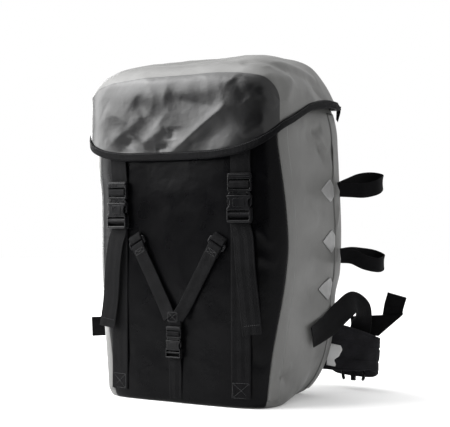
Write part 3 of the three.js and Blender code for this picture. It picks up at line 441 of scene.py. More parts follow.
def route(points, count):
    """Points and directions along a centripetal curve through points."""
    points = [Vector(p) for p in points]
    ends = [points[0] * 2 - points[1]] + points + [points[-1] * 2 - points[-2]]
    places = []
    for i in range(count + 1):
        at = (len(points) - 1) * i / count
        index = min(int(at), len(points) - 2)
        t = at - index
        p0, p1, p2, p3 = ends[index:index + 4]
        d0, d1, d2 = [max((b - a).length, 1e-4) ** 0.5 for a, b in ((p0, p1), (p1, p2), (p2, p3))]
        m1 = ((p1 - p0) / d0 - (p2 - p0) / (d0 + d1) + (p2 - p1) / d1) * d1
        m2 = ((p2 - p1) / d1 - (p3 - p1) / (d1 + d2) + (p3 - p2) / d2) * d1
        c2 = -3 * p1 + 3 * p2 - 2 * m1 - m2
        c3 = 2 * p1 - 2 * p2 + m1 + m2
        place = p1 + m1 * t + c2 * t * t + c3 * t ** 3
        heading = (m1 + 2 * c2 * t + 3 * c3 * t * t).normalized()
        places.append((place, heading))
    return places


def band_frames(points, sides, count):
    frames = []
    for i, (place, heading) in enumerate(route(points, count)):
        at = i / count * (len(sides) - 1)
        index = min(int(at), len(sides) - 2)
        side = sides[index].lerp(sides[index + 1], at - index)
        side = (side - heading * side.dot(heading)).normalized()
        frames.append((place, side, heading.cross(side)))
    return frames


# Outline of half a band's section: across and through as shares of width and thickness
WEB_SECTION = [(-0.500, 0.0), (-0.492, 0.34), (-0.470, 0.48), (-0.44, 0.5), (-0.2, 0.5), (0.0, 0.5),
               (0.2, 0.5), (0.44, 0.5), (0.470, 0.48), (0.492, 0.34)]


def band_piece(name, frames, width, thickness, look, nodes,
               section=WEB_SECTION, scale=None, relief=0.0, rise=None):
    """A band with rounded edges. scale gives a frame's width as a share of width; relief is uneven swelling."""
    outline = section + [(-across, -through) for across, through in section]
    count = len(outline)
    points, uvs, faces = [], [], []
    along = 0.0
    for i, (place, side, facing) in enumerate(frames):
        if i:
            along += (place - frames[i - 1][0]).length
        share = width * (scale(i / (len(frames) - 1)) if scale else 1)
        place = place + side * rise(i / (len(frames) - 1)) if rise else place
        for across, through in outline:
            point = place + side * (across * share) + facing * (through * thickness)
            if relief:
                swelling = noise.noise(point / 26) + 0.5 * noise.noise(point / 11)
                point += facing * (relief * swelling * min(abs(through) * 2, 1) * math.copysign(1, through))
            points.append(point)
            uvs.append((across * share, along))
    for i in range(len(frames) - 1):
        for k in range(count):
            a, b = i * count + k, i * count + (k + 1) % count
            faces.append((a, a + count, b + count, b))
    faces.append(tuple(range(count)))
    faces.append(tuple(reversed(range((len(frames) - 1) * count, len(frames) * count))))
    return sharpen(finish_piece(name, points, faces, look, nodes, uvs), 50)


def plate_mesh(outlines, low, high, bevel):
    """A plate with holes and rounded edges, from outlines of (across, along), between two depths."""
    data = bpy.data.curves.new("plate", "CURVE")
    data.dimensions = "2D"
    data.fill_mode = "BOTH"
    data.extrude = (high - low) / 2 - bevel
    data.bevel_depth = bevel
    data.bevel_resolution = 2
    data.offset = -bevel
    for outline in outlines:
        spline = data.splines.new("POLY")
        spline.points.add(len(outline) - 1)
        for point, (across, along) in zip(spline.points, outline):
            point.co = (across, along, 0, 1)
        spline.use_cyclic_u = True
    obj = bpy.data.objects.new("plate", data)
    bpy.context.collection.objects.link(obj)
    bpy.context.view_layer.update()
    mesh = bpy.data.meshes.new_from_object(obj.evaluated_get(bpy.context.evaluated_depsgraph_get()))
    points = [Vector((v.co.x, v.co.y, v.co.z + (low + high) / 2)) for v in mesh.vertices]
    faces = [tuple(p.vertices) for p in mesh.polygons]
    bpy.data.objects.remove(obj)
    bpy.data.curves.remove(data)
    bpy.data.meshes.remove(mesh)
    return points, faces


def plates_piece(name, plates, matrix, look, nodes):
    """One piece of several plates; a plate is (outlines, low, high, bevel)."""
    points, faces = [], []
    for outlines, low, high, bevel in plates:
        some, polygons = plate_mesh(outlines, low, high, bevel)
        start = len(points)
        points += [matrix @ point for point in some]
        faces += [tuple(start + index for index in polygon) for polygon in polygons]
    return sharpen(finish_piece(name, points, faces, look, nodes), 35)


def rounded(half, low, high, radius, steps=5):
    """Rounded rectangle from -half to half across and from low to high along."""
    corners = [(half - radius, low + radius, -90), (half - radius, high - radius, 0),
               (radius - half, high - radius, 90), (radius - half, low + radius, 180)]
    points = []
    for x, y, start in corners:
        for i in range(steps + 1):
            angle = math.radians(start + 90 * i / steps)
            points.append((x + radius * math.cos(angle), y + radius * math.sin(angle)))
    return points


# Materials

class Graph:
    """A material's nodes, built one by one round its principled shader."""

    def __init__(self, name, roughness, **values):
        self.material = bpy.data.materials.new(name)
        self.material.use_nodes = True
        self.tree = self.material.node_tree
        self.shader = self.tree.nodes["Principled BSDF"]
        self.shader.inputs["Roughness"].default_value = roughness
        for label, value in values.items():
            self.shader.inputs[label.replace("_", " ")].default_value = value
        self.height = None
        self.place = self.node("TexCoord").outputs["Object"]

    def node(self, kind, inputs=(), **settings):
        node = self.tree.nodes.new("ShaderNode" + kind)
        for label, value in settings.items():
            setattr(node, label, value)
        for socket, value in dict(inputs).items():
            if isinstance(value, bpy.types.NodeSocket):
                self.tree.links.new(value, node.inputs[socket])
            else:
                node.inputs[socket].default_value = value
        return node

    def cloth_place(self):
        return self.node("UVMap", uv_map="UVMap").outputs["UV"]

    def noise(self, scale, detail=2.0, rough=0.5):
        values = {"Vector": self.place, "Scale": scale, "Detail": detail, "Roughness": rough}
        return self.node("TexNoise", values).outputs["Fac"]

    def cells(self, scale, **settings):
        return self.node("TexVoronoi", {"Vector": self.place, "Scale": scale}, **settings).outputs["Distance"]

    def math(self, operation, a, b=0.0):
        return self.node("Math", {0: a, 1: b}, operation=operation).outputs[0]

    def spread(self, value, low, high, out_low, out_high):
        return self.node("MapRange", {"Value": value, "From Min": low, "From Max": high, "To Min": out_low,
                                      "To Max": out_high}).outputs["Result"]

    def colour(self, fac, dark, light):
        ramp = self.node("ValToRGB", {"Fac": fac})
        ramp.color_ramp.elements[0].position = 0.3
        ramp.color_ramp.elements[1].position = 0.7
        ramp.color_ramp.elements[0].color = (*dark, 1)
        ramp.color_ramp.elements[1].color = (*light, 1)
        self.tree.links.new(ramp.outputs["Color"], self.shader.inputs["Base Color"])

    def roughen(self, fac, low, high):
        self.tree.links.new(self.spread(fac, 0.3, 0.7, low, high), self.shader.inputs["Roughness"])

    def bump(self, height, depth, strength=1.0):
        """Adds relief of a depth in millimetres on top of what is there."""
        inputs = {"Height": height, "Distance": depth * MM, "Strength": strength}
        if self.height is not None:
            inputs["Normal"] = self.height
        self.height = self.node("Bump", inputs).outputs["Normal"]

    def close(self):
        if self.height is not None:
            self.tree.links.new(self.height, self.shader.inputs["Normal"])
        return self.material

    def weave(self, across_pitch, along_pitch):
        """Interlaced threads, from the cloth's own places in millimetres."""
        parts = self.node("SeparateXYZ", {0: self.cloth_place()})
        across = self.math("SINE", self.math("MULTIPLY", parts.outputs["X"], math.tau / across_pitch))
        along = self.math("SINE", self.math("MULTIPLY", parts.outputs["Y"], math.tau / along_pitch))
        return self.spread(self.math("MULTIPLY", across, along), -1, 1, 0, 1)

    def twill(self, pitch):
        """Slanting ribs that turn back along the middle, as webbing has."""
        parts = self.node("SeparateXYZ", {0: self.cloth_place()})
        across = self.math("PINGPONG", parts.outputs["X"], pitch * 3)
        slanted = self.math("ADD", self.math("MULTIPLY", across, 0.8), parts.outputs["Y"])
        return self.spread(self.math("SINE", self.math("MULTIPLY", slanted, math.tau / pitch)), -1, 1, 0, 1)


def tarp_material(name, dark, light, roughness, gloss_spread, crumple, **values):
    g = Graph(name, roughness, **values)
    g.colour(g.noise(9, 4, 0.6), dark, light)
    g.roughen(g.noise(22, 3), roughness - gloss_spread, roughness + gloss_spread)
    g.bump(g.noise(26, 2), crumple)
    g.bump(g.noise(90, 3, 0.6), crumple * 0.22)
    g.bump(g.weave(1.6, 1.6), 0.025, 0.6)
    return g.close()


def webbing_material(name, dark, light, pitch):
    g = Graph(name, 0.62, Sheen_Weight=0.01, Sheen_Roughness=0.5, Specular_IOR_Level=0.05)
    g.colour(g.noise(60, 3), dark, light)
    g.bump(g.noise(40, 2), 0.5)
    g.bump(g.twill(pitch), 0.28)
    g.bump(g.noise(1400, 2), 0.05)
    return g.close()


def plastic_material():
    g = Graph("moulded_plastic", 0.30, Specular_IOR_Level=0.14)
    g.colour(g.noise(30, 3), (0.002, 0.002, 0.0024), (0.004, 0.004, 0.0047))
    g.roughen(g.noise(45, 3), 0.24, 0.36)
    g.bump(g.noise(1600, 3), 0.03)
    return g.close()


def padding_material():
    g = Graph("spacer_mesh", 0.85, Sheen_Weight=0.03, Specular_IOR_Level=0.1)
    g.colour(g.noise(40, 3), (0.006, 0.006, 0.007), (0.013, 0.013, 0.015))
    g.bump(g.noise(30, 2), 0.8)
    g.bump(g.cells(330.0, feature="SMOOTH_F1"), 0.8)
    return g.close()


def patch_material(name, low, high):
    g = Graph(name, 0.34, Specular_IOR_Level=0.5)
    g.colour(g.noise(60, 3), (low,) * 3, (high,) * 3)
    g.roughen(g.noise(80, 2), 0.28, 0.4)
    g.bump(g.cells(700.0), 0.06)
    g.bump(g.noise(30, 2), 0.4)
    return g.close()


def thread_material():
    g = Graph("thread", 0.6, Sheen_Weight=0.1)
    g.colour(g.noise(300, 2), (0.012, 0.012, 0.013), (0.022, 0.022, 0.024))
    g.bump(g.noise(2500, 2), 0.08)
    return g.close()


def floor_material():
    g = Graph("studio_floor", 0.9, Specular_IOR_Level=0.1, Emission_Color=(1, 1, 1, 1), Emission_Strength=0.16)
    g.colour(g.noise(1.5, 2), (0.84, 0.84, 0.84), (0.86, 0.86, 0.86))
    return g.close()


# Looks: a material and its slot
GREY = tarp_material("grey_tarpaulin", (0.074, 0.074, 0.0715), (0.090, 0.090, 0.087), 0.46, 0.06, 0.9,
                     Specular_IOR_Level=0.5), "grey_tarp"
BLACK = tarp_material("black_tarpaulin", (0.0010, 0.0010, 0.0013), (0.0018, 0.0018, 0.0022), 0.30, 0.05, 1.0,
                      Specular_IOR_Level=0.06), "black_tarp"
GLOSSY = tarp_material("glossy_black_tarpaulin", (0.0012, 0.0012, 0.0015), (0.002, 0.002, 0.0024), 0.33,
                       0.04, 1.2, Specular_IOR_Level=0.42), "black_tarp"
WEBBING = webbing_material("webbing", (0.0014, 0.0014, 0.0017), (0.0032, 0.0032, 0.0037), 2.4), "webbing"
TAPE = webbing_material("hem_tape", (0.0012, 0.0012, 0.0016), (0.0025, 0.0025, 0.0031), 1.2), "hem_tape"
PLASTIC = plastic_material(), "buckle_plastic"
PADDING = padding_material(), "padding"
DIAMOND = patch_material("side_diamond", 0.16, 0.20), "reflective"
PATCH = patch_material("light_patch", 0.40, 0.48), "padding"
THREAD = thread_material(), "webbing"

# Body: the grey bag, its black front and its welded seams

BODY_CREASES = rows_of(
    "start end width depth",
    ((174, 6, 455), (174, 40, 462), 6, -5.0),
    ((174, 20, 450), (178, 60, 424), 7, 3.4),
    ((174, 16, 448), (178, 38, 424), 6, -3.4),
    ((176, 28, 440), (180, 44, 404), 6, -2.2),
    ((174, -30, 470), (174, 10, 457), 9, 2.0),
    ((176, -50, 452), (176, -6, 448), 10, -1.6),
    ((182, 60, 440), (186, 74, 380), 9, 1.8),
    ((187, 96, 335), (187, 78, 292), 6, 2.4),
    ((187, -40, 345), (187, 40, 318), 14, -1.4),
    ((187, -20, 250), (187, 70, 222), 12, 1.4),
    ((185, -20, 176), (187, 50, 196), 12, -2.6),
    ((183, 0, 140), (186, 70, 168), 14, 1.8),
    ((180, -94, 52), (182, -68, 44), 7, -3.6),
    ((181, -92, 60), (185, -60, 66), 7, 2.2),
    ((176, -96, 36), (170, -20, 20), 12, -2.0),
    ((186, -60, 380), (188, 10, 300), 26, 1.4),
    ((-186, 0, 450), (-186, 40, 430), 8, -2.6),
    ((-187, 40, 300), (-186, -30, 240), 16, -2.2),
    ((0, 124, 470), (90, 124, 400), 16, 1.5),
    ((-120, 124, 300), (-40, 124, 180), 18, -2.0),
    ((60, 110, 140), (140, 100, 90), 14, -2.4))
FRONT_CREASES = rows_of(
    "start end width depth",
    ((150, -132, 300), (168, -110, 262), 9, 2.4),
    ((146, -134, 252), (170, -108, 238), 8, 2.2),
    ((150, -130, 390), (166, -112, 372), 11, 1.4),
    ((-60, -140, 356), (60, -140, 350), 22, 1.0),
    ((-40, -140, 312), (70, -140, 318), 18, 0.8),
    ((-30, -140, 190), (30, -140, 120), 26, -1.2),
    ((120, -136, 90), (160, -116, 70), 14, -2.0),
    ((-150, -128, 80), (-100, -138, 60), 16, -2.0))


# Crumples: size of the folds, their depth and the seed
BODY_CRUMPLES = ((120, 2.2, 3.7), (46, 0.7, 11.3))
# Heights where the black cover and the seams start, and where both end under the lid
COVER_FOOT = 3
SEAM_FOOT = 12
COVER_TOP = 494
SEAM_THICKNESS = 1.0


def wrinkled(grid, normals, creases):
    for size, depth, seed in BODY_CRUMPLES:
        grid = crumpled(grid, normals, size, depth, seed)
    return creased(grid, normals, creases)


def body_surface(turns, heights, wraps, extra=()):
    grid = surface(body_form, turns, heights)
    normals = grid_normals(grid, wraps)
    return wrinkled(grid, normals, BODY_CREASES + list(extra)), normals


def dense(start, end, count):
    return list(np.linspace(start, end, count))


def joined(*stretches):
    """Levels over stretches that meet, each from a start to an end with its count."""
    return [level for stretch in stretches for level in dense(*stretch)[:-1]] + [stretches[-1][1]]


# The flat base is closed by smaller copies of its edge; its grid is finer near the floor
BASE_RINGS = (0.003, 0.3, 0.6, 0.85, 0.97)
FINE_TO = 20
MIDDLING_TO = 70
BODY_COLUMNS = 300


def make_body():
    turns = dense(-180, 180, BODY_COLUMNS + 1)[:-1]
    heights = joined((0.5, FINE_TO, 10), (FINE_TO, MIDDLING_TO, 16), (MIDDLING_TO, BODY_HEIGHT, 100))
    grid, normals = body_surface(turns, heights, True)
    grid[0, :, 2] = 0
    ring = grid[0]
    caps = [ring * np.array((share, share, 1)) for share in BASE_RINGS]
    outer = np.concatenate([np.array(caps), grid])
    inner_wall = grid - normals * TARP
    inner_wall[:, :, 2] = np.clip(inner_wall[:, :, 2], TARP, BODY_HEIGHT)
    inner_caps = [cap + np.array((0, 0, TARP)) for cap in caps]
    inner = np.concatenate([np.array(inner_caps), inner_wall])
    sheet_piece("bag_body", outer, inner, True, GREY, ["body_shell"])


# A welded sheet's thickness at its side edges, as a share of its own, and how deep its back lies in the gap
WELD_EDGE = 0.45
WELD_SUNK = 0.3


def overlay(name, turns, heights, thickness, look, node, extra=()):
    """A sheet welded over the body, thinner along its two side edges."""
    grid, normals = body_surface(turns, heights, False, extra)
    rim = np.ones((1, len(turns), 1))
    rim[0, [0, -1], 0] = 0
    outer = grid + normals * (GAP + thickness * (WELD_EDGE + (1 - WELD_EDGE) * rim))
    return sheet_piece(name, outer, grid + normals * (GAP - WELD_SUNK), False, look, [node]), grid


def make_front():
    heights = joined((COVER_FOOT, FINE_TO, 8), (FINE_TO, COVER_TOP, 100))
    cover, grid = overlay("front_cover", dense(FRONT_EDGE_LEFT, FRONT_SEAM, 140), heights, PANEL, BLACK,
                          "front_panel", FRONT_CREASES)
    declare_sheet(cover, grid)


def make_seams():
    heights = dense(SEAM_FOOT, COVER_TOP, 110)
    for label, sign in SIDES:
        start = FRONT_SEAM if sign > 0 else -FRONT_EDGE_LEFT
        for place, low, high in (("front", start + 0.35, start + WELD_SEAM - FRONT_SEAM),
                                 ("rear", REAR_SEAM, REAR_SEAM_END)):
            turns = sorted(sign * turn for turn in dense(low, high, 12))
            overlay(f"{place}_weld_{label}", turns, heights, SEAM_THICKNESS, GREY, f"{place}_seam_{label}")


# Light diamonds on the sides: height of the middle, with the shape's turns and heights
DIAMOND_HEIGHTS = (188, 270, 358)
DIAMOND_HALF = 20
DIAMOND_TURNS = (102.5, 120.6)
DIAMOND_PEAK = 0.75
DIAMOND_THICK = 0.8
DIAMOND_SUNK = 0.2


def diamond_reach(share):
    """Half height of the diamond along its width: it rises to its peak and ends blunt."""
    if share < DIAMOND_PEAK:
        return max(share / DIAMOND_PEAK, 0.02)
    return 1 - (share - DIAMOND_PEAK) / (1 - DIAMOND_PEAK) * 0.5


def make_diamonds():
    for label, sign in SIDES:
        for i, height in enumerate(DIAMOND_HEIGHTS):
            grid = np.array([[
                body_form(sign * lerp(*DIAMOND_TURNS, u), height + v * DIAMOND_HALF * diamond_reach(u))
                for u in dense(0, 1, 14)] for v in dense(-1, 1, 17)])
            if sign < 0:
                grid = grid[:, ::-1]
            normals = grid_normals(grid, False)
            grid = wrinkled(grid, normals, BODY_CREASES)
            outer, inner = grid + normals * (GAP + DIAMOND_THICK), grid + normals * DIAMOND_SUNK
            sheet_piece(f"side_patch_{label}_{i + 1}", outer, inner, False, DIAMOND,
                        [f"side_diamond_{label}_{i + 1}"])


# Lid

LID_CREASES = rows_of(
    "start end width depth edge",
    ((-6, -150, 417), (106, -150, 497), 10, 2.6, 1.3),
    ((20, -150, 410), (116, -150, 470), 20, -1.0, 2),
    ((-80, -150, 512), (-30, -150, 470), 20, -2.0),
    ((-14, -150, 512), (92, -150, 489), 18, -2.2),
    ((1, -150, 462), (1, -150, 440), 9, -1.5),
    ((-34, -150, 424), (-8, -150, 428), 9, -1.5),
    ((-96, -150, 430), (-84, -150, 450), 10, -1.6),
    ((-140, -140, 500), (-96, -150, 470), 16, 1.5),
    ((-130, -145, 440), (-60, -150, 480), 18, 1.7),
    ((-60, -150, 436), (-20, -150, 462), 12, 1.8),
    ((-155, -140, 525), (-60, -150, 538), 16, -1.0),
    ((130, -146, 440), (166, -128, 470), 10, 1.8),
    ((150, -140, 520), (176, -116, 488), 9, 1.6),
    ((112, -150, 536), (140, -148, 500), 12, -1.8))
CORNER_CREASES = rows_of(
    "start end width depth edge",
    ((112, -120, 572), (176, -60, 556), 11, -5.5, 1.4),
    ((150, -84, 574), (186, 50, 566), 11, 4.5, 1.3),
    ((168, -70, 560), (190, 60, 548), 13, -2.4, 1.5),
    ((178, -66, 546), (186, -96, 500), 12, 3.0),
    ((150, -100, 552), (182, -100, 500), 13, -2.6),
    ((190, 20, 545), (192, 60, 510), 9, -2.2),
    ((192, -20, 528), (192, 20, 505), 14, 1.6),
    ((-40, -60, 598), (120, 20, 596), 22, 1.8),
    ((-120, -40, 590), (-60, 60, 592), 20, -1.8),
    ((40, 60, 596), (150, 70, 570), 14, 2.0),
    ((-190, -60, 540), (-196, 40, 520), 14, -2.4),
    ((-60, 120, 560), (80, 122, 540), 14, -2.0))


# Crumples: size of the folds, their depth, the seed, and whether they have crests
LID_CRUMPLES = ((95, 2.0, 21.3, False), (42, 0.7, 5.9, True))
# The cover starts this share of the binding above the hem, and its upper edge has round corners
COVER_BOTTOM = BINDING * 0.6 / (LID_SHOULDER - LID_FRONT_HEM)
COVER_SIDE, COVER_ARCH = 0.62, 0.66
COVER_LIFTS = (0.3, 1.7)
# Passes that soften the turn into the crown, on the hood's grid and on the cover's
HOOD_PASSES = 18
COVER_PASSES = 30
# Folds fade out below this level, and the cloth is set back to make room for them
FOLDS_FROM = 0.12
FOLDS_ROOM = 1.2


def eased(grid, passes):
    """Softens the turn from the front of the lid into its crown."""
    for _ in range(passes):
        grid[1:-1] = (grid[:-2] + 2 * grid[1:-1] + grid[2:]) / 4
    return grid


def lid_folds(grid, normals, levels):
    """Crumples and creases of the lid, held back near its hem."""
    mask = np.clip(levels / FOLDS_FROM, 0.25, 1)
    grid = grid - normals * FOLDS_ROOM
    for size, depth, seed, ridged in LID_CRUMPLES:
        grid = crumpled(grid, normals, size, depth, seed, ridged, mask)
    return creased(grid, normals, LID_CREASES + CORNER_CREASES)


def make_lid():
    turns = dense(-180, 180, 321)[:-1]
    levels = joined((0, 1, 56), (1, 1.995, 90))
    grid = eased(surface(lid_form, turns, levels), HOOD_PASSES)
    normals = grid_normals(grid, True)
    grid = lid_folds(grid, normals, np.repeat(np.array(levels)[:, None], len(turns), axis=1))
    centre = grid[-1].mean(axis=0)
    normals[-1] = (0, 0, 1)
    grid[-1] = centre + (grid[-1] - centre) * 0.02
    sheet_piece("lid_hood", grid, grid - normals * TARP, True, GREY, ["lid_shell"])


def make_lid_panel():
    low, high = LID_PANEL_TURNS
    centre, half = (low + high) / 2, (high - low) / 2
    turns = [centre + half * math.sin(math.radians(angle)) for angle in dense(-90, 90, 150)]

    def top(turn):
        """Level of the cover's upper edge: flat in front, with round corners."""
        arch = COVER_SIDE + COVER_ARCH * (1 - (abs(turn - centre) / half) ** 5) ** (1 / 2.6)
        return max(arch, COVER_BOTTOM + 0.05)

    def on_panel(read):
        return np.array([[read(turn, lerp(COVER_BOTTOM, top(turn), row)) for turn in turns]
                         for row in dense(0, 1, 90)])

    normals = on_panel(lambda turn, level: lid_point(turn, level, 1) - lid_form(turn, level))
    full = lid_folds(eased(on_panel(lid_form), COVER_PASSES), normals, on_panel(lambda turn, level: level))
    inner, outer = [full + normals * lift for lift in COVER_LIFTS]
    cover = sheet_piece("lid_front", outer, inner, False, GLOSSY, ["lid_panel"])
    declare_sheet(cover, full)


# Binding: lift of its face off the lid, and its own thickness; its rounded face, as shares of its height with
# their lift off that face; and how far it reaches below the hem, outside, in the middle and inside
BINDING_FACE = 3.0 * GAP + 1.0
BINDING_CLOTH = 0.8
BINDING_ROUND = ((0.9, 0.3), (0.5, 0.5), (0.1, 0.3))
BINDING_DROPS = (1.2, 2.0, 1.2)
BINDING_COLUMNS = 420


def make_binding():
    sections = []
    for turn in dense(-REAR_SEAM_END, REAR_SEAM_END, BINDING_COLUMNS):
        top = BINDING / (LID_SHOULDER - hem_height(turn))
        hem = lid_point(turn, 0, BINDING_FACE)
        under = lid_point(turn, 0, -TARP - 0.6)
        face = [lid_point(turn, top * share, BINDING_FACE + lift) for share, lift in BINDING_ROUND]
        fold = [place - UP * drop for place, drop in zip((hem, hem.lerp(under, 0.5), under), BINDING_DROPS)]
        sections.append([lid_point(turn, top, BINDING_FACE * 0.7), *face, *fold,
                         lid_point(turn, top * 0.5, -TARP - 1.0)])
    outer = np.array(sections).transpose(1, 0, 2)[::-1]
    normals = grid_normals(outer, False)
    sheet_piece("hem_binding", outer, outer - normals * BINDING_CLOTH, False, TAPE, ["lid_binding"])


make_body()
make_front()
make_seams()
make_diamonds()
make_lid()
make_lid_panel()
make_binding()

# Buckles, in their own plane: half widths and heights in millimetres for wide webbing


def buckle_sizes(webbing, unit):
    return {
        "unit": unit, "half": (webbing + 6.5 * unit) / 2, "opening": webbing / 2 + 0.6 * unit,
        "thickness": 11 * unit, "blade": 4.2 * unit, "neck": 4 * unit, "lower_slot": (10 * unit, 14.5 * unit),
        "upper_slot": (20.5 * unit, 26 * unit), "top": 36 * unit, "female_upper": (-28.5 * unit, -24.5 * unit),
        "female_lower": (-40 * unit, -32.5 * unit), "end": -44.4 * unit, "bar_top": 8 * unit}


# Outline of a spring arm, from its root to its tip and back: distance from the side and height
PRONG = [(-5.5, 7), (-2.2, 4), (-0.2, 0), (0.6, -4), (0.9, -9), (0.5, -14), (-1.2, -17.5), (-3.6, -18.8),
         (-5.6, -16.5), (-4.4, -12.5), (-3.4, -8), (-3.6, -3), (-5.2, 1), (-8.5, 4)]
# Right half of the female outline, from the mouth down
FEMALE = [(-1.5, 0), (-0.2, -0.8), (0, -2.2), (-0.2, -4), (-3.4, -6), (-4.4, -9), (-4.2, -14), (-3.0, -18),
          (-0.4, -20.5), (0, -23), (0, -41), (-1.0, -43.6), (-3.2, -44.4)]


SLOT_CORNER = 1.2


def mirrored(half_outline):
    return half_outline + [(-across, along) for across, along in reversed(half_outline)]


def male_piece(name, size, matrix, nodes):
    unit, half = size["unit"], size["half"]
    low = (size["thickness"] - size["blade"]) / 2
    high = low + size["blade"]
    holes = [rounded(size["opening"], *size[slot], SLOT_CORNER * unit) for slot in ("lower_slot", "upper_slot")]
    plate = [rounded(half, size["neck"] + 2 * unit, size["top"], 3.4 * unit)] + holes
    neck = [rounded(half * 0.62, -2 * unit, size["neck"] + 4 * unit, 1.5 * unit)]
    tongue = [rounded(half * 0.2, -19 * unit, 2 * unit, 1.2 * unit)]
    plates = [(plate, low - 0.9 * unit, high + 1.3 * unit, 0.9 * unit), (neck, low, high, 0.5 * unit),
              (tongue, low, high, 0.5 * unit)]
    for sign in (-1, 1):
        prong = [(sign * (half + across * unit), along * unit) for across, along in PRONG]
        plates.append(([prong], low, high, 0.7 * unit))
    bar_low, bar_high = size["upper_slot"][1], size["top"]
    grip = [rounded(half - 1.5 * unit, bar_low + 3.2 * unit, bar_high - 2.2 * unit, 1.8 * unit)]
    plates.append((grip, high + 0.4 * unit, high + 2.2 * unit, 0.8 * unit))
    return plates_piece(name, plates, matrix, PLASTIC, nodes)


def female_piece(name, size, matrix, nodes):
    unit, half = size["unit"], size["half"]
    thick = size["thickness"]
    outline = mirrored([(half + across * unit, along * unit) for across, along in FEMALE])
    slots = [rounded(size["opening"], *size[slot], SLOT_CORNER * unit)
             for slot in ("female_upper", "female_lower")]
    plates = [([outline] + slots, 0, 3.2 * unit, 0.6 * unit),
              ([outline] + slots, thick - 3.2 * unit, thick, 1.1 * unit)]
    block = rounded(half - 0.4 * unit, size["end"] + 0.8 * unit, -21 * unit, 2.5 * unit)
    plates.append(([block] + slots, 2.6 * unit, thick - 2.6 * unit, 0.3 * unit))
    boss = rounded(half * 0.5, -19 * unit, -4.5 * unit, 3 * unit)
    plates.append(([boss], thick - 0.6 * unit, thick + 0.5 * unit, 0.5 * unit))
    lip = rounded(half - 1.2 * unit, -43.4 * unit, -41.2 * unit, 0.9 * unit)
    plates.append(([lip], thick - 0.6 * unit, thick + 0.6 * unit, 0.6 * unit))
    return plates_piece(name, plates, matrix, PLASTIC, nodes)


# Stitches

# Rings of a stitch: share of its length, with its lift and its width as shares of the thread's
STITCH_RINGS = ((-0.5, -0.2, 0.5), (-0.25, 0.35, 1.0), (0.25, 0.35, 1.0), (0.5, -0.2, 0.5))
STITCH_LENGTH = 2.4
THREAD_WIDTH = 0.45
THREAD_SIDES = 6
STRAP_PITCH = 3.6
BOX_PITCH = 2.8


def stitches(name, places, thread=THREAD_WIDTH):
    """Short raised threads; a place is (point, direction, outward)."""
    points, faces = [], []
    for point, along, outward in places:
        across = along.cross(outward).normalized()
        rings = []
        for share, lift, wide in STITCH_RINGS:
            centre = point + along * (share * STITCH_LENGTH) + outward * (lift * thread)
            rings.append(range(len(points), len(points) + THREAD_SIDES))
            for k in range(THREAD_SIDES):
                angle = math.tau * k / THREAD_SIDES
                spoke = across * math.cos(angle) + outward * math.sin(angle)
                points.append(centre + spoke * thread * 0.5 * wide)
        for low, high in zip(rings, rings[1:]):
            for k in range(THREAD_SIDES):
                after = (k + 1) % THREAD_SIDES
                faces.append((low[k], low[after], high[after], high[k]))
        faces += [tuple(reversed(rings[0])), tuple(rings[-1])]
    return finish_piece(name, points, faces, THREAD, [])


def row_of_stitches(path, outwards, pitch=STRAP_PITCH):
    """Places for stitches along a polyline, with the outward direction of each of its points."""
    places, left = [], pitch
    for (a, b), outward in zip(zip(path, path[1:]), outwards):
        length = (b - a).length
        along = (b - a).normalized()
        at = left
        while at < length:
            places.append((a + along * at, along, outward))
            at += pitch
        left = at - length
    return places


def box_stitches(frame_place, width, height, lift):
    """A sewn box with a cross, in a frame's plane."""
    point, side, facing = frame_place
    upward = facing.cross(side).normalized()
    centre = point + facing * lift
    a, b, c, d = [centre + side * (x * width) + upward * (y * height)
                  for x, y in ((-1, -1), (1, -1), (1, 1), (-1, 1))]
    places = []
    for line in ((a, b), (b, c), (c, d), (d, a), (a, c), (b, d)):
        places += row_of_stitches(list(line), [facing], BOX_PITCH)
    return places


# Places of the stitches on the straps, gathered while these are made, and how far in they lie from an edge
sewn = []
BOX_MARGIN = 3
EDGE_MARGIN = 2


# Front straps

FRONT_BUCKLE = buckle_sizes(STRAP, 1)
HARNESS_BUCKLE = buckle_sizes(NARROW, NARROW / BELT)


def in_plane(matrix, places):
    return [matrix @ Vector((0, along, through)) for along, through in places]


def middle(slot):
    return (slot[0] + slot[1]) / 2


def male_loop(size):
    blade = (size["thickness"] - size["blade"]) / 2
    reach = WEB / 2 + 0.35
    behind, before = blade - reach, blade + size["blade"] + reach
    half = (behind + before) / 2
    returning = behind - WEB - 0.3
    into, out = middle(size["upper_slot"]), middle(size["lower_slot"])
    low, high = size["lower_slot"][1], size["upper_slot"][0]
    return [
        (size["top"] + 2, behind - 0.4), (size["upper_slot"][1] + 3, behind - 0.9), (into + 1.2, behind + 0.4),
        (into, half), (into - 0.4, before - 0.2), (high, before + 0.8), ((into + out) / 2, before + 0.9),
        (low, before + 0.8), (out + 0.4, before - 0.2), (out, half), (out + 0.2, behind - 0.6),
        (low, returning - 0.6), (size["upper_slot"][1], returning - 0.6), (size["top"] + 8, returning)]


def strap_piece(name, points, side, count, width, node):
    frames = band_frames(points, [side, side], count)
    band_piece(name, frames, width, WEB, WEBBING, [node])
    return frames


# Upper strap under the lid: its heights, its turn as a share of the strap's own, and its distance from the lid
UNDER_LID_HEIGHTS = (452, 432)
UNDER_LID_TURN = 0.985
UNDER_LID_GAP = 2
# Lower strap: heights and lifts where it lies on the front; then its tail, from below the buckle to its end,
# as shares of the way with their lifts, drifting outwards
STRAP_RESTS = ((16, 2.3), (62, 1.5), (110, 1.5), (180, 1.5), (250, 1.5))
STRAP_TAIL = ((0, 6), (0.3, 9), (0.65, 8), (1, 12))
TAIL_DROP = 24
TAIL_END = 122
TAIL_DRIFT = (6, 20)
# Height of the loaded strap's middle in its buckle, and the height of the box stitches on the bag
LOAD = WEB / 2 + 0.2
BOX_HEIGHT = 30
UPPER_FRAMES = 170
LOWER_FRAMES = 230


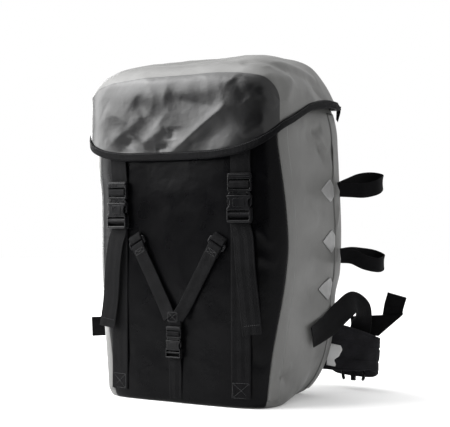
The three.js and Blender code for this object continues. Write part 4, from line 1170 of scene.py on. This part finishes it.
def make_front_strap(label, sign):
    x = STRAP_OFFSET * sign + STRAP_SHIFT
    size = FRONT_BUCKLE
    height = BUCKLE_HEIGHT[label]
    point, side, facing = front_frame(x, height - size["end"], 1)
    matrix = frame_matrix(point, side, facing)
    male_piece(f"clip_upper_{label}", size, matrix, [f"strap_buckle_upper_{label}"])
    female_piece(f"clip_lower_{label}", size, matrix, [f"strap_buckle_lower_{label}"])

    def under_lid(z):
        turn = front_column(x, z) * UNDER_LID_TURN
        level = (z - hem_height(turn)) / (LID_SHOULDER - hem_height(turn))
        return lid_point(turn, level, -TARP - GAP - WEB / 2 - UNDER_LID_GAP)

    points = [under_lid(z) for z in UNDER_LID_HEIGHTS]
    points += in_plane(matrix, [(size["top"] + 18, 3.4)] + male_loop(size))
    strap_piece(f"webbing_upper_{label}", points, side, UPPER_FRAMES, STRAP, f"strap_upper_{label}")
    tail_ply = LOAD + WEB + 0.35
    front = size["bar_top"] + WEB / 2 + 0.3
    high, low = size["female_upper"], size["female_lower"]
    into, out = middle(high), middle(low)

    def tail(share, lift):
        drift = sign * lerp(*TAIL_DRIFT, share)
        return front_frame(x + drift, lerp(height - TAIL_DROP, TAIL_END, share), lift)[0]

    points = [front_frame(x, z, lift)[0] for z, lift in STRAP_RESTS]
    points += in_plane(matrix, [
        (size["end"] - 3, LOAD), (low[0] + 2, LOAD), (high[0], LOAD), (into - 0.4, LOAD + 0.8),
        (into, (LOAD + front) / 2), (into - 0.4, front - 0.4), (high[0], front + 0.2), (low[1], front + 0.2),
        (out + 1.6, front - 0.8), (out + 0.4, (front + tail_ply) / 2), (out - 1, tail_ply + 0.5),
        (low[0], tail_ply), (size["end"] - 3, tail_ply + 0.2)])
    points += [tail(*row) for row in STRAP_TAIL]
    frames = strap_piece(f"webbing_lower_{label}", points, side, LOWER_FRAMES, STRAP, f"strap_lower_{label}")
    end = frames[-4]
    half = STRAP / 2 - EDGE_MARGIN
    edge = [end[0] - end[1] * half, end[0] + end[1] * half]
    outward = end[2] if end[2].y < 0 else -end[2]
    sewn.extend(row_of_stitches([p + outward * (WEB / 2 + 0.1) for p in edge], [outward]))
    sewn.extend(box_stitches(front_frame(x, BOX_HEIGHT, 1.5), STRAP / 2 - BOX_MARGIN, 12, WEB / 2 + 0.9))


for label, sign in SIDES:
    make_front_strap(label, sign)


# Front harness: heights where its lower strap lies on the front, and its lift off the front
HARNESS_RESTS = (8, 30, 52)
HARNESS_LIFT = 2.6
# Frames along its lower strap, its yoke, an arm and a tab
STUB_FRAMES = 40
YOKE_FRAMES = 150
ARM_FRAMES = 110
TAB_FRAMES = 60
# Flat ring: its thickness, its wall at the sides, and half the heights of the ring and of its slot
RING_THICK = 3
RING_WALL = 4
RING_HALF = 7
RING_SLOT = 3


def make_harness():
    size = HARNESS_BUCKLE
    point, side, facing = front_frame(0, HARNESS_BUCKLE_HEIGHT - size["end"], HARNESS_LIFT)
    matrix = frame_matrix(point, side, facing)
    male_piece("harness_clip_upper", size, matrix, ["harness_buckle_upper"])
    female_piece("harness_clip_lower", size, matrix, ["harness_buckle_lower"])
    points = [front_frame(0, z, 1.5)[0] for z in HARNESS_RESTS]
    points += in_plane(matrix, [(size["end"] - 3, LOAD), (size["female_lower"][0] + 1, LOAD),
                                (size["female_upper"][0] - 2, LOAD)])
    strap_piece("harness_webbing_lower", points, side, STUB_FRAMES, NARROW, "harness_strap_lower")
    layer = size["thickness"] / 2 - 1.4
    points = in_plane(matrix, [(size["top"] + 24, layer), (size["top"] + 12, layer)] + male_loop(size))
    strap_piece("harness_webbing_yoke", points, side, YOKE_FRAMES, NARROW, "harness_yoke")
    for label, sign in SIDES:
        make_harness_arm(label, sign, matrix, size)
    yoke = (matrix @ Vector((0, size["top"] + 16, 0)), side, facing)
    sewn.extend(box_stitches(yoke, NARROW / 2 - BOX_MARGIN, 8, size["thickness"] / 2 + 5.2))


def make_harness_arm(label, sign, buckle_matrix, size):
    ring_x = RING_OFFSET * sign + RING_SHIFT
    start, _, facing = front_frame(ring_x, RING_HEIGHT, HARNESS_LIFT)
    layer = size["thickness"] / 2 + 0.4 + (1.5 if sign > 0 else 0.5) * (WEB + 2 * GAP)
    end = buckle_matrix @ Vector((HARNESS_SPREAD * sign, size["top"] + NARROW / 2 + 2, layer))
    along = (end - start).normalized()
    across = along.cross(facing).normalized()
    half = NARROW / 2 + 1
    ring = [rounded(half + RING_WALL, -RING_HALF, RING_HALF, 4),
            rounded(half, -RING_SLOT, RING_SLOT, SLOT_CORNER)]
    plates_piece(f"harness_ring_bar_{label}", [(ring, 0, RING_THICK, 1.0)],
                 frame_matrix(start, across, facing), PLASTIC, [f"harness_ring_{label}"])

    def step(distance, lift):
        return start + along * distance + facing * lift

    def mid(share):
        x = lerp(ring_x, HARNESS_SPREAD * sign, share)
        return front_frame(x, lerp(RING_HEIGHT, end.z, share), lerp(6, 5, share))[0]

    over, under = RING_THICK + WEB / 2 + 0.55, -WEB / 2 - 0.45

    def round_bar(way):
        """Through the ring, from under its bar to over it."""
        return [step(way * distance, lift)
                for distance, lift in ((2, under + 0.6), (1.4, RING_THICK / 2), (2, over - 0.6), (5, over))]

    arm = [step(22, under), step(5, under)] + round_bar(1) + [step(11, over)]
    arm += [mid(share) for share in (0.35, 0.6, 0.85)] + [end]
    strap_piece(f"harness_webbing_arm_{label}", arm, across, ARM_FRAMES, NARROW, f"harness_arm_{label}")
    tab = [step(-15, under), step(-6, under)] + round_bar(-1) + [step(-11, over - 0.6), step(-15, over - 2.6)]
    strap_piece(f"harness_webbing_tab_{label}", tab, across, TAB_FRAMES, NARROW, f"harness_tab_{label}")
    sewn.extend(box_stitches((step(16, 0), across, facing), NARROW / 2 - BOX_MARGIN, 4, over + WEB / 2 + 0.2))


make_harness()

# Side loops: reach, spread and rise of a loop's points, as shares of its reach; its turn past the rear seam
# and its lift off the body
LOOP_REACH = 81
LOOP_TURN = 5
LOOP_LIFT = 4.9
LOOP_FRAMES = 120
LOOP_SHAPES = {
    "upper": (360, [(0.00, 0.016, 0.00), (0.24, 0.060, -0.01), (0.52, 0.160, -0.02), (0.82, 0.170, 0.06),
                    (0.98, 0.000, 0.18), (0.82, -0.170, 0.24), (0.52, -0.160, 0.21), (0.24, -0.060, 0.11),
                    (0.00, -0.016, 0.01)]),
    "lower": (244, [(0.00, 0.016, 0.00), (0.24, 0.060, -0.02), (0.52, 0.160, -0.15), (0.82, 0.170, -0.20),
                    (0.98, 0.000, -0.13), (0.82, -0.170, -0.03), (0.52, -0.160, 0.02), (0.24, -0.060, 0.04),
                    (0.00, -0.016, 0.01)]),
}


def make_loops(label, sign):
    for place, (height, shape) in LOOP_SHAPES.items():
        base, _, _ = body_frame((REAR_SEAM + LOOP_TURN) * sign, height, LOOP_LIFT)
        away = Vector((sign, 1, 0)).normalized()
        across = Vector((1, -sign, 0)).normalized()
        points = [base + away * (reach * LOOP_REACH) + across * (spread * LOOP_REACH) + UP * (rise * LOOP_REACH)
                  for reach, spread, rise in shape]
        strap_piece(f"side_loop_webbing_{place}_{label}", points, UP, LOOP_FRAMES, NARROW,
                    f"side_loop_{place}_{label}")


for label, sign in SIDES:
    make_loops(label, sign)

# Back pad, shoulder straps and belt

BACK_FACE = BODY_BACK + GAP


# Half of a pad's section, across and through as shares: its bound edge, the reach of its crown and where that
# would meet the middle plane, and its sewn channels' place, width and depth
PAD_EDGE = [(-0.5, 0.0), (-0.497, 0.14), (-0.485, 0.24), (-0.465, 0.30), (-0.448, 0.28), (-0.440, 0.22)]
CROWN_REACH, CROWN_FOOT = 0.43, 0.46
CHANNEL_PLACE, CHANNEL_WIDTH, CHANNEL_DEPTH = 0.18, 0.022, 0.42


def pad_section():
    """Half of a pad's section: bound edges, a crown between them and two sewn channels."""
    crown_points = []
    for across in dense(-CROWN_REACH, CROWN_REACH, 29):
        rise = 0.5 * (1 - abs(across / CROWN_FOOT) ** 5) ** 0.5
        channel = math.exp(-((abs(across) - CHANNEL_PLACE) / CHANNEL_WIDTH) ** 2)
        crown_points.append((across, rise * (1 - CHANNEL_DEPTH * channel)))
    return PAD_EDGE + crown_points + [(-across, through) for across, through in reversed(PAD_EDGE[1:])]


PAD_SECTION = pad_section()


PAD_HALF = 128
PAD_BOTTOM = 228
PAD_TOP = 455
PAD_THICK = 12
PAD_CORNER = 30
# Rings of the pad from its edge to its middle, with their share of its thickness, and its sewn channels
PAD_RINGS = ((1.0, 0.0), (0.995, 0.35), (0.985, 0.6), (0.965, 0.75), (0.94, 0.6), (0.9, 0.85), (0.84, 0.98),
             (0.76, 1), (0.66, 1), (0.54, 1), (0.4, 1), (0.25, 1), (0.12, 1), (0.04, 1), (0.003, 1))
PAD_CHANNELS = (305, 380)


def pad_channel(x, z):
    across = sum(math.exp(-((z - height) / 8) ** 2) for height in PAD_CHANNELS)
    return min(math.exp(-(x / 12) ** 2) + across, 1)


def make_back_pad():
    corners = rounded(PAD_HALF, PAD_BOTTOM, PAD_TOP, PAD_CORNER, 12)
    outline = []
    for (x0, y0), (x1, y1) in zip(corners, corners[1:] + corners[:1]):
        pieces = max(int(math.hypot(x1 - x0, y1 - y0) / 7), 1)
        outline += [(lerp(x0, x1, i / pieces), lerp(y0, y1, i / pieces)) for i in range(pieces)]
    outer = []
    for ring, bulge in PAD_RINGS:
        places = [(lerp(0, x, ring), lerp((PAD_BOTTOM + PAD_TOP) / 2, z, ring)) for x, z in outline]
        sewn_in = 0.5 if ring < 0.9 else 0
        outer.append([(-x, BACK_FACE + PAD_THICK * bulge * (1 - sewn_in * pad_channel(x, z)), z)
                      for x, z in places])
    outer = np.array(outer)
    inner = outer.copy()
    inner[:, :, 1] = BACK_FACE - 0.2
    return sheet_piece("back_cushion", outer, inner, True, PADDING, ["back_pad"])


# Shoulder straps: places as shares of the way down, across and out, and their measures
SHOULDER_PLACES = [(0.10, 0.03, 0.55), (0.28, 0.16, 0.95), (0.50, 0.42, 1.00), (0.74, 0.74, 0.80),
                   (1.00, 1.00, 0.52)]
SHOULDER_ACROSS = (50, 104)
SHOULDER_DOWN = (470, 232)
SHOULDER_REACH = 62
SHOULDER_WIDTH = 64
SHOULDER_THICK = 11
LOCK_HEIGHT = 26
LOCK_THICK = 4
# Where the shoulder webbing is sewn in: its height, its place across and its turn from the front strap's
ANCHOR_HEIGHT = 168
ANCHOR_ACROSS = 112
ANCHOR_TURN = 24


def strap_end(share):
    """A shoulder strap narrows to its lock."""
    return 1 - 0.45 * smooth((share - 0.86) / 0.14)


def fin_end(share):
    """A fin narrows along its length and has a rounded end."""
    last = min(max((share - 0.9) / 0.1, 0), 1)
    return (1 - 0.25 * share) * (1 - 0.5 * last ** 3)


def make_shoulder_strap(label, sign):
    root_y = body_point(180, SHOULDER_DOWN[0], GAP).y

    def place(down, across, y):
        return Vector((sign * lerp(*SHOULDER_ACROSS, across), y, lerp(*SHOULDER_DOWN, down)))

    points = [place(0, 0, root_y), place(0, 0, root_y + SHOULDER_REACH * 0.2)]
    points += [place(down, across, BACK_FACE + SHOULDER_REACH * out) for down, across, out in SHOULDER_PLACES]
    across = Vector((1, 0, 0))
    frames = band_frames(points, [across, across], 70)
    band_piece(f"shoulder_pad_{label}", frames, SHOULDER_WIDTH, SHOULDER_THICK, PADDING,
                         [f"shoulder_strap_{label}"], PAD_SECTION, strap_end, 0.7)
    end, side, _ = frames[-1]
    heading = (points[-1] - points[-2]).normalized()
    facing = side.cross(-heading).normalized()
    matrix = frame_matrix(end + heading * (LOCK_HEIGHT + GAP) - facing * 2, side, facing, -heading)
    lock = [rounded(17, 0, LOCK_HEIGHT, 3)] + [rounded(NARROW / 2 + 0.8, low, low + 5, 1) for low in (4, 15)]
    plates_piece(f"strap_lock_{label}", [(lock, 0, LOCK_THICK, 0.9)], matrix, PLASTIC, [f"ladder_lock_{label}"])
    behind = -WEB / 2 - GAP if facing.y > 0 else LOCK_THICK + WEB / 2 + GAP
    column = 180 * sign - (front_column(0, ANCHOR_HEIGHT) + ANCHOR_TURN) * sign
    anchor = body_point(column, ANCHOR_HEIGHT, GAP + WEB)
    anchor.x = sign * ANCHOR_ACROSS
    start = in_plane(matrix, [(22, behind), (4, behind)])
    knee = start[1].lerp(anchor, 0.5) + Vector((0, 4, -6))
    strap_piece(f"shoulder_tail_{label}", start + [knee, anchor], side, 40, NARROW, f"shoulder_webbing_{label}")


# Places of the belt: across as a share of the half width, behind the back as one of its depth, and up as
# one of the height
FIN_ROUTES = {
    "right": [(0.326, -0.138, 0.174), (0.632, -0.120, 0.162), (0.905, 0.080, 0.142), (1.105, 0.264, 0.117),
              (1.168, 0.392, 0.106), (1.095, 0.512, 0.102), (0.842, 0.544, 0.106), (0.621, 0.512, 0.113)],
    "left": [(-0.326, -0.138, 0.174), (-0.632, -0.124, 0.168), (-0.947, 0.012, 0.168), (-1.242, -0.144, 0.174)],
}
BELT_FIN = 92
FIN_THICK = 9


def belt_point(row):
    return Vector((row[0] * BODY_HALF_WIDTH, BACK_FACE + row[1] * BODY_BACK, row[2] * BODY_HEIGHT))


# The right fin is pressed narrow where it folds back: how much of its width goes, round which share
FOLD_SQUEEZE = 0.24
FOLD_SHARE = 0.52
FOLD_SPREAD = 0.17


def fold_squeeze(share):
    return FOLD_SQUEEZE * math.exp(-((share - FOLD_SHARE) / FOLD_SPREAD) ** 2)


def folded_end(share):
    return fin_end(share) * (1 - fold_squeeze(share))


def folded_rise(share):
    """Keeps the pressed fin's upper edge where it was."""
    return BELT_FIN * (1 - 0.25 * share) * fold_squeeze(share) * 0.42


def make_fins():
    for label, _ in SIDES:
        frames = band_frames([belt_point(row) for row in FIN_ROUTES[label]], [UP, UP], 120)
        narrowing, rise = (folded_end, folded_rise) if label == "right" else (fin_end, None)
        band_piece(f"hip_pad_{label}", frames, BELT_FIN, FIN_THICK, PADDING, [f"hip_fin_{label}"],
                             PAD_SECTION, narrowing, 1.8, rise)
        if label == "right":
            make_belt_patch(frames)


# Light patch on the face of the right fin: between two places across, and its heights from the middle
PATCH_ACROSS = (147, 172)
PATCH_HEIGHTS = (-34, 6)
PATCH_LIFT = 1.2
PATCH_THICK = 0.8
PATCH_SUNK = 0.4


def patch_reach(share):
    """The patch grows wider upwards, with an uneven edge."""
    return 0.55 + 0.45 * smooth(share * 2.4 - 0.7) + 0.05 * math.sin(share * 17)


def make_belt_patch(frames):
    held = [frame for frame in frames[:70] if PATCH_ACROSS[0] < frame[0].x < PATCH_ACROSS[1]]
    rows = []
    for v in dense(0, 1, 14):
        row = []
        for u in dense(0, 1, 10):
            at = u * patch_reach(v) * (len(held) - 1)
            low = min(int(at), len(held) - 2)
            place = held[low][0].lerp(held[low + 1][0], at - low)
            facing = held[low][2]
            row.append(place + UP * lerp(*PATCH_HEIGHTS, v) + facing * (FIN_THICK / 2 + PATCH_LIFT))
        rows.append(row)
    grid = np.array(rows)
    normals = grid_normals(grid, False)
    sheet_piece("belt_patch", grid + normals * PATCH_THICK, grid - normals * PATCH_SUNK, False, PATCH, [])


# The belt lies spread in the picture's plane: directions across it and towards the camera
PICTURE_TURN = math.radians(CAMERA_TURN)
SPREAD_ACROSS = Vector((math.cos(PICTURE_TURN), math.sin(PICTURE_TURN), 0))
SPREAD_NEAR = Vector((math.sin(PICTURE_TURN), -math.cos(PICTURE_TURN), 0))


def side_direction(across, upwards, near):
    return (UP * upwards + SPREAD_ACROSS * across + SPREAD_NEAR * near).normalized()


# Webbing of the belt on the right: its places, and its width's direction across, up and near the camera
ARCH = [
    (0.984, -1.064, 0.204, (0.16, 0.99, 0)), (1.021, -0.696, 0.238, (-0.4, 0.9, 0)),
    (1.053, -0.320, 0.283, (-0.5, 0.8, -0.3)), (1.074, -0.032, 0.306, (0.1, 0.8, -0.6)),
    (1.084, 0.192, 0.275, (0.7, 0.5, -0.4)), (1.021, 0.352, 0.219, (1, 0.1, 0)), (0.937, 0.376, 0.100, (1, 0, 0))]
LEFT_TIP = [(-1.074, -0.108, 0.170), (-1.232, -0.196, 0.174), (-1.421, -0.320, 0.181), (-1.605, -0.464, 0.187),
            (-1.747, -0.592, 0.185)]
# Loose tail: its start, its fold and its end, and the height of its waves
TAIL = [(0.842, 0.594, 0.208), (1.242, 0.608, 0.219), (1.311, 0.608, 0.323)]
TAIL_WAVE = 1.6
# The buckle half hangs this far below the end of the arch and this far in front of the webbing
CLIP_DROP = 19
CLIP_GAP = 0.4


def make_belt_webbing():
    frames = band_frames([belt_point(row) for row in ARCH], [side_direction(*row[3]) for row in ARCH], 120)
    band_piece("belt_webbing_right", frames, BELT, WEB, WEBBING, ["belt_strap_right"])
    frames = band_frames([belt_point(row) for row in LEFT_TIP], [UP, side_direction(0.3, 0.95, 0)], 40)
    band_piece("belt_webbing_left", frames, BELT, WEB, WEBBING, ["belt_strap_left"])


def make_belt_tail():
    start, corner, end = [belt_point(row) for row in TAIL]
    first, second = (corner - start).normalized(), (end - corner).normalized()
    facing = Vector((0, 1, 0))
    fold_line = (first + second).normalized()
    outward = (first - second).normalized()
    first_side = facing.cross(first).normalized()
    fold_side = fold_line / fold_line.dot(first_side)
    second_side = fold_line * (2 * fold_line.dot(first_side)) - first_side
    depth = WEB + 0.5
    frames = []
    for share in dense(0, 1, 24)[:-1]:
        side = first_side.lerp(fold_side, smooth((share - 0.55) / 0.45))
        frames.append((start.lerp(corner, share), side, facing))
    frames += [(corner, fold_side, facing),
               (corner + facing * (depth / 2) + outward * (depth / 2), fold_side, -outward),
               (corner + facing * depth, fold_side, -facing)]
    for share in dense(0, 1, 24)[1:]:
        side = fold_side.lerp(second_side, smooth(share / 0.45))
        lift = facing * (depth + TAIL_WAVE * math.sin(share * math.pi * 2.5))
        frames.append(((corner + lift).lerp(end + lift, share), side, -facing))
    band_piece("belt_webbing_tail", frames, BELT, WEB, WEBBING, ["belt_tail_right"])


def make_belt_buckle():
    size = buckle_sizes(BELT, 1)
    point = belt_point(ARCH[-1]) - Vector((0, WEB + size["thickness"] / 2 + CLIP_GAP, CLIP_DROP))
    matrix = frame_matrix(point, Vector((-1, 0, 0)), Vector((0, 1, 0)))
    male_piece("belt_clip_right", size, matrix, ["belt_buckle_right"])


make_back_pad()
for label, sign in SIDES:
    make_shoulder_strap(label, sign)
make_fins()
make_belt_webbing()
make_belt_tail()
make_belt_buckle()


# Loose end of the hem tape at the rear right corner: across and up from its tip
HEM_CORNER = [(-9, 5), (-1, 4), (-2.5, -8), (-7, -24), (-10, -19)]
# Stitches along the hem: their pitch and their thread
HEM_PITCH = 3.8
HEM_THREAD = 0.5


def make_hem_corner():
    """The tape's end turns down behind the corner as a small pointed flap."""
    base = lid_point(REAR_SEAM_END, 0, 3.4)
    plates_piece("hem_corner", [([HEM_CORNER], -0.8, 0.8, 0.3)], frame_matrix(base, SPREAD_ACROSS, SPREAD_NEAR),
                 TAPE, [])


def hem_stitching():
    turns = dense(-REAR_SEAM_END + 1, REAR_SEAM_END - 1, 300)
    path = [lid_point(turn, 0.82 * BINDING / (LID_SHOULDER - hem_height(turn)), 3.1) for turn in turns]
    outwards = [(lid_point(turn, 0.05, 4) - lid_point(turn, 0.05, 2)).normalized() for turn in turns[:-1]]
    stitches("hem_stitches", row_of_stitches(path, outwards, HEM_PITCH), HEM_THREAD)


make_hem_corner()
hem_stitching()
stitches("strap_stitches", sewn)

# Camera, as far, as high and as wide as the photograph's

CAMERA_DISTANCE = 2.040
CAMERA_HEIGHT = 0.300
FOCAL_PIXELS = 1146
PHOTO_WIDTH = 450
PHOTO_HEIGHT = 427
AXIS_PIXEL = 221
HORIZON_PIXEL = 224
SENSOR = 36
FLOOR_HALF = 6.0
LIGHT_TARGET = Vector((0, 0, 0.36))


def make_camera():
    data = bpy.data.cameras.new("camera")
    data.sensor_fit = "HORIZONTAL"
    data.sensor_width = SENSOR
    data.lens = FOCAL_PIXELS / PHOTO_WIDTH * SENSOR
    data.shift_x = (PHOTO_WIDTH / 2 - AXIS_PIXEL) / PHOTO_WIDTH
    data.shift_y = (HORIZON_PIXEL - PHOTO_HEIGHT / 2) / PHOTO_WIDTH
    camera = bpy.data.objects.new("camera", data)
    bpy.context.collection.objects.link(camera)
    turn = math.radians(CAMERA_TURN)
    camera.location = (CAMERA_DISTANCE * math.sin(turn), -CAMERA_DISTANCE * math.cos(turn), CAMERA_HEIGHT)
    camera.rotation_euler = (math.pi / 2, 0, turn)
    bpy.context.scene.camera = camera


def stage_plane(name, corners, material, seen=True):
    mesh = bpy.data.meshes.new(name)
    mesh.from_pydata(corners, [], [(0, 1, 2, 3)])
    mesh.materials.append(material)
    plane = bpy.data.objects.new(name, mesh)
    bpy.context.collection.objects.link(plane)
    plane.visible_camera = seen


def make_floor():
    half = FLOOR_HALF
    stage_plane("studio_floor", [(-half, -half, 0), (half, -half, 0), (half, half, 0), (-half, half, 0)],
                floor_material())


# Lights: azimuth and elevation in degrees, distance and size in metres, power in watts
LIGHTS = rows_of(
    "name azimuth elevation distance size power",
    ("key", -57, 24, 2.4, (2.3, 2.6), 165),
    ("top", -80, 66, 2.2, (2.0, 2.0), 48),
    ("left", -116, 10, 2.6, (1.0, 1.8), 42))
# Dark cards that the front of the bag mirrors, unseen by the camera: azimuth in degrees, distance, width,
# and the heights between
CARDS = rows_of(
    "name azimuth distance width from to",
    ("tall_card", 13, 2.5, 3.8, 0.0, 2.2),
    ("low_card", -41, 2.0, 1.3, 0.0, 0.62))


def card_material():
    g = Graph("dark_card", 0.95, Specular_IOR_Level=0.0)
    g.colour(g.noise(2, 2), (0.010, 0.010, 0.010), (0.012, 0.012, 0.012))
    return g.close()


def direction_of(azimuth, elevation):
    turn, lift = math.radians(azimuth), math.radians(elevation)
    return Vector((math.sin(turn) * math.cos(lift), -math.cos(turn) * math.cos(lift), math.sin(lift)))


def make_cards():
    material = card_material()
    for row in CARDS:
        place = direction_of(row["azimuth"], 0) * row["distance"]
        across = direction_of(row["azimuth"] + 90, 0) * (row["width"] / 2)
        corners = [place - across + UP * row["from"], place + across + UP * row["from"],
                   place + across + UP * row["to"], place - across + UP * row["to"]]
        stage_plane(row["name"], corners, material, False)


def make_lights():
    for row in LIGHTS:
        data = bpy.data.lights.new(row["name"], "AREA")
        data.shape = "RECTANGLE"
        data.size, data.size_y = row["size"]
        data.energy = row["power"]
        light = bpy.data.objects.new(row["name"], data)
        bpy.context.collection.objects.link(light)
        direction = direction_of(row["azimuth"], row["elevation"])
        light.location = LIGHT_TARGET + direction * row["distance"]
        light.rotation_euler = direction.to_track_quat("Z", "Y").to_euler()


def make_room():
    world = bpy.data.worlds.new("studio")
    world.use_nodes = True
    background = world.node_tree.nodes["Background"]
    background.inputs["Color"].default_value = (1, 1, 1, 1)
    background.inputs["Strength"].default_value = 1.0
    bpy.context.scene.world = world
    bpy.context.scene.view_settings.view_transform = "Standard"


make_camera()
make_floor()
make_cards()
make_lights()
make_room()

bpy.context.view_layer.update()
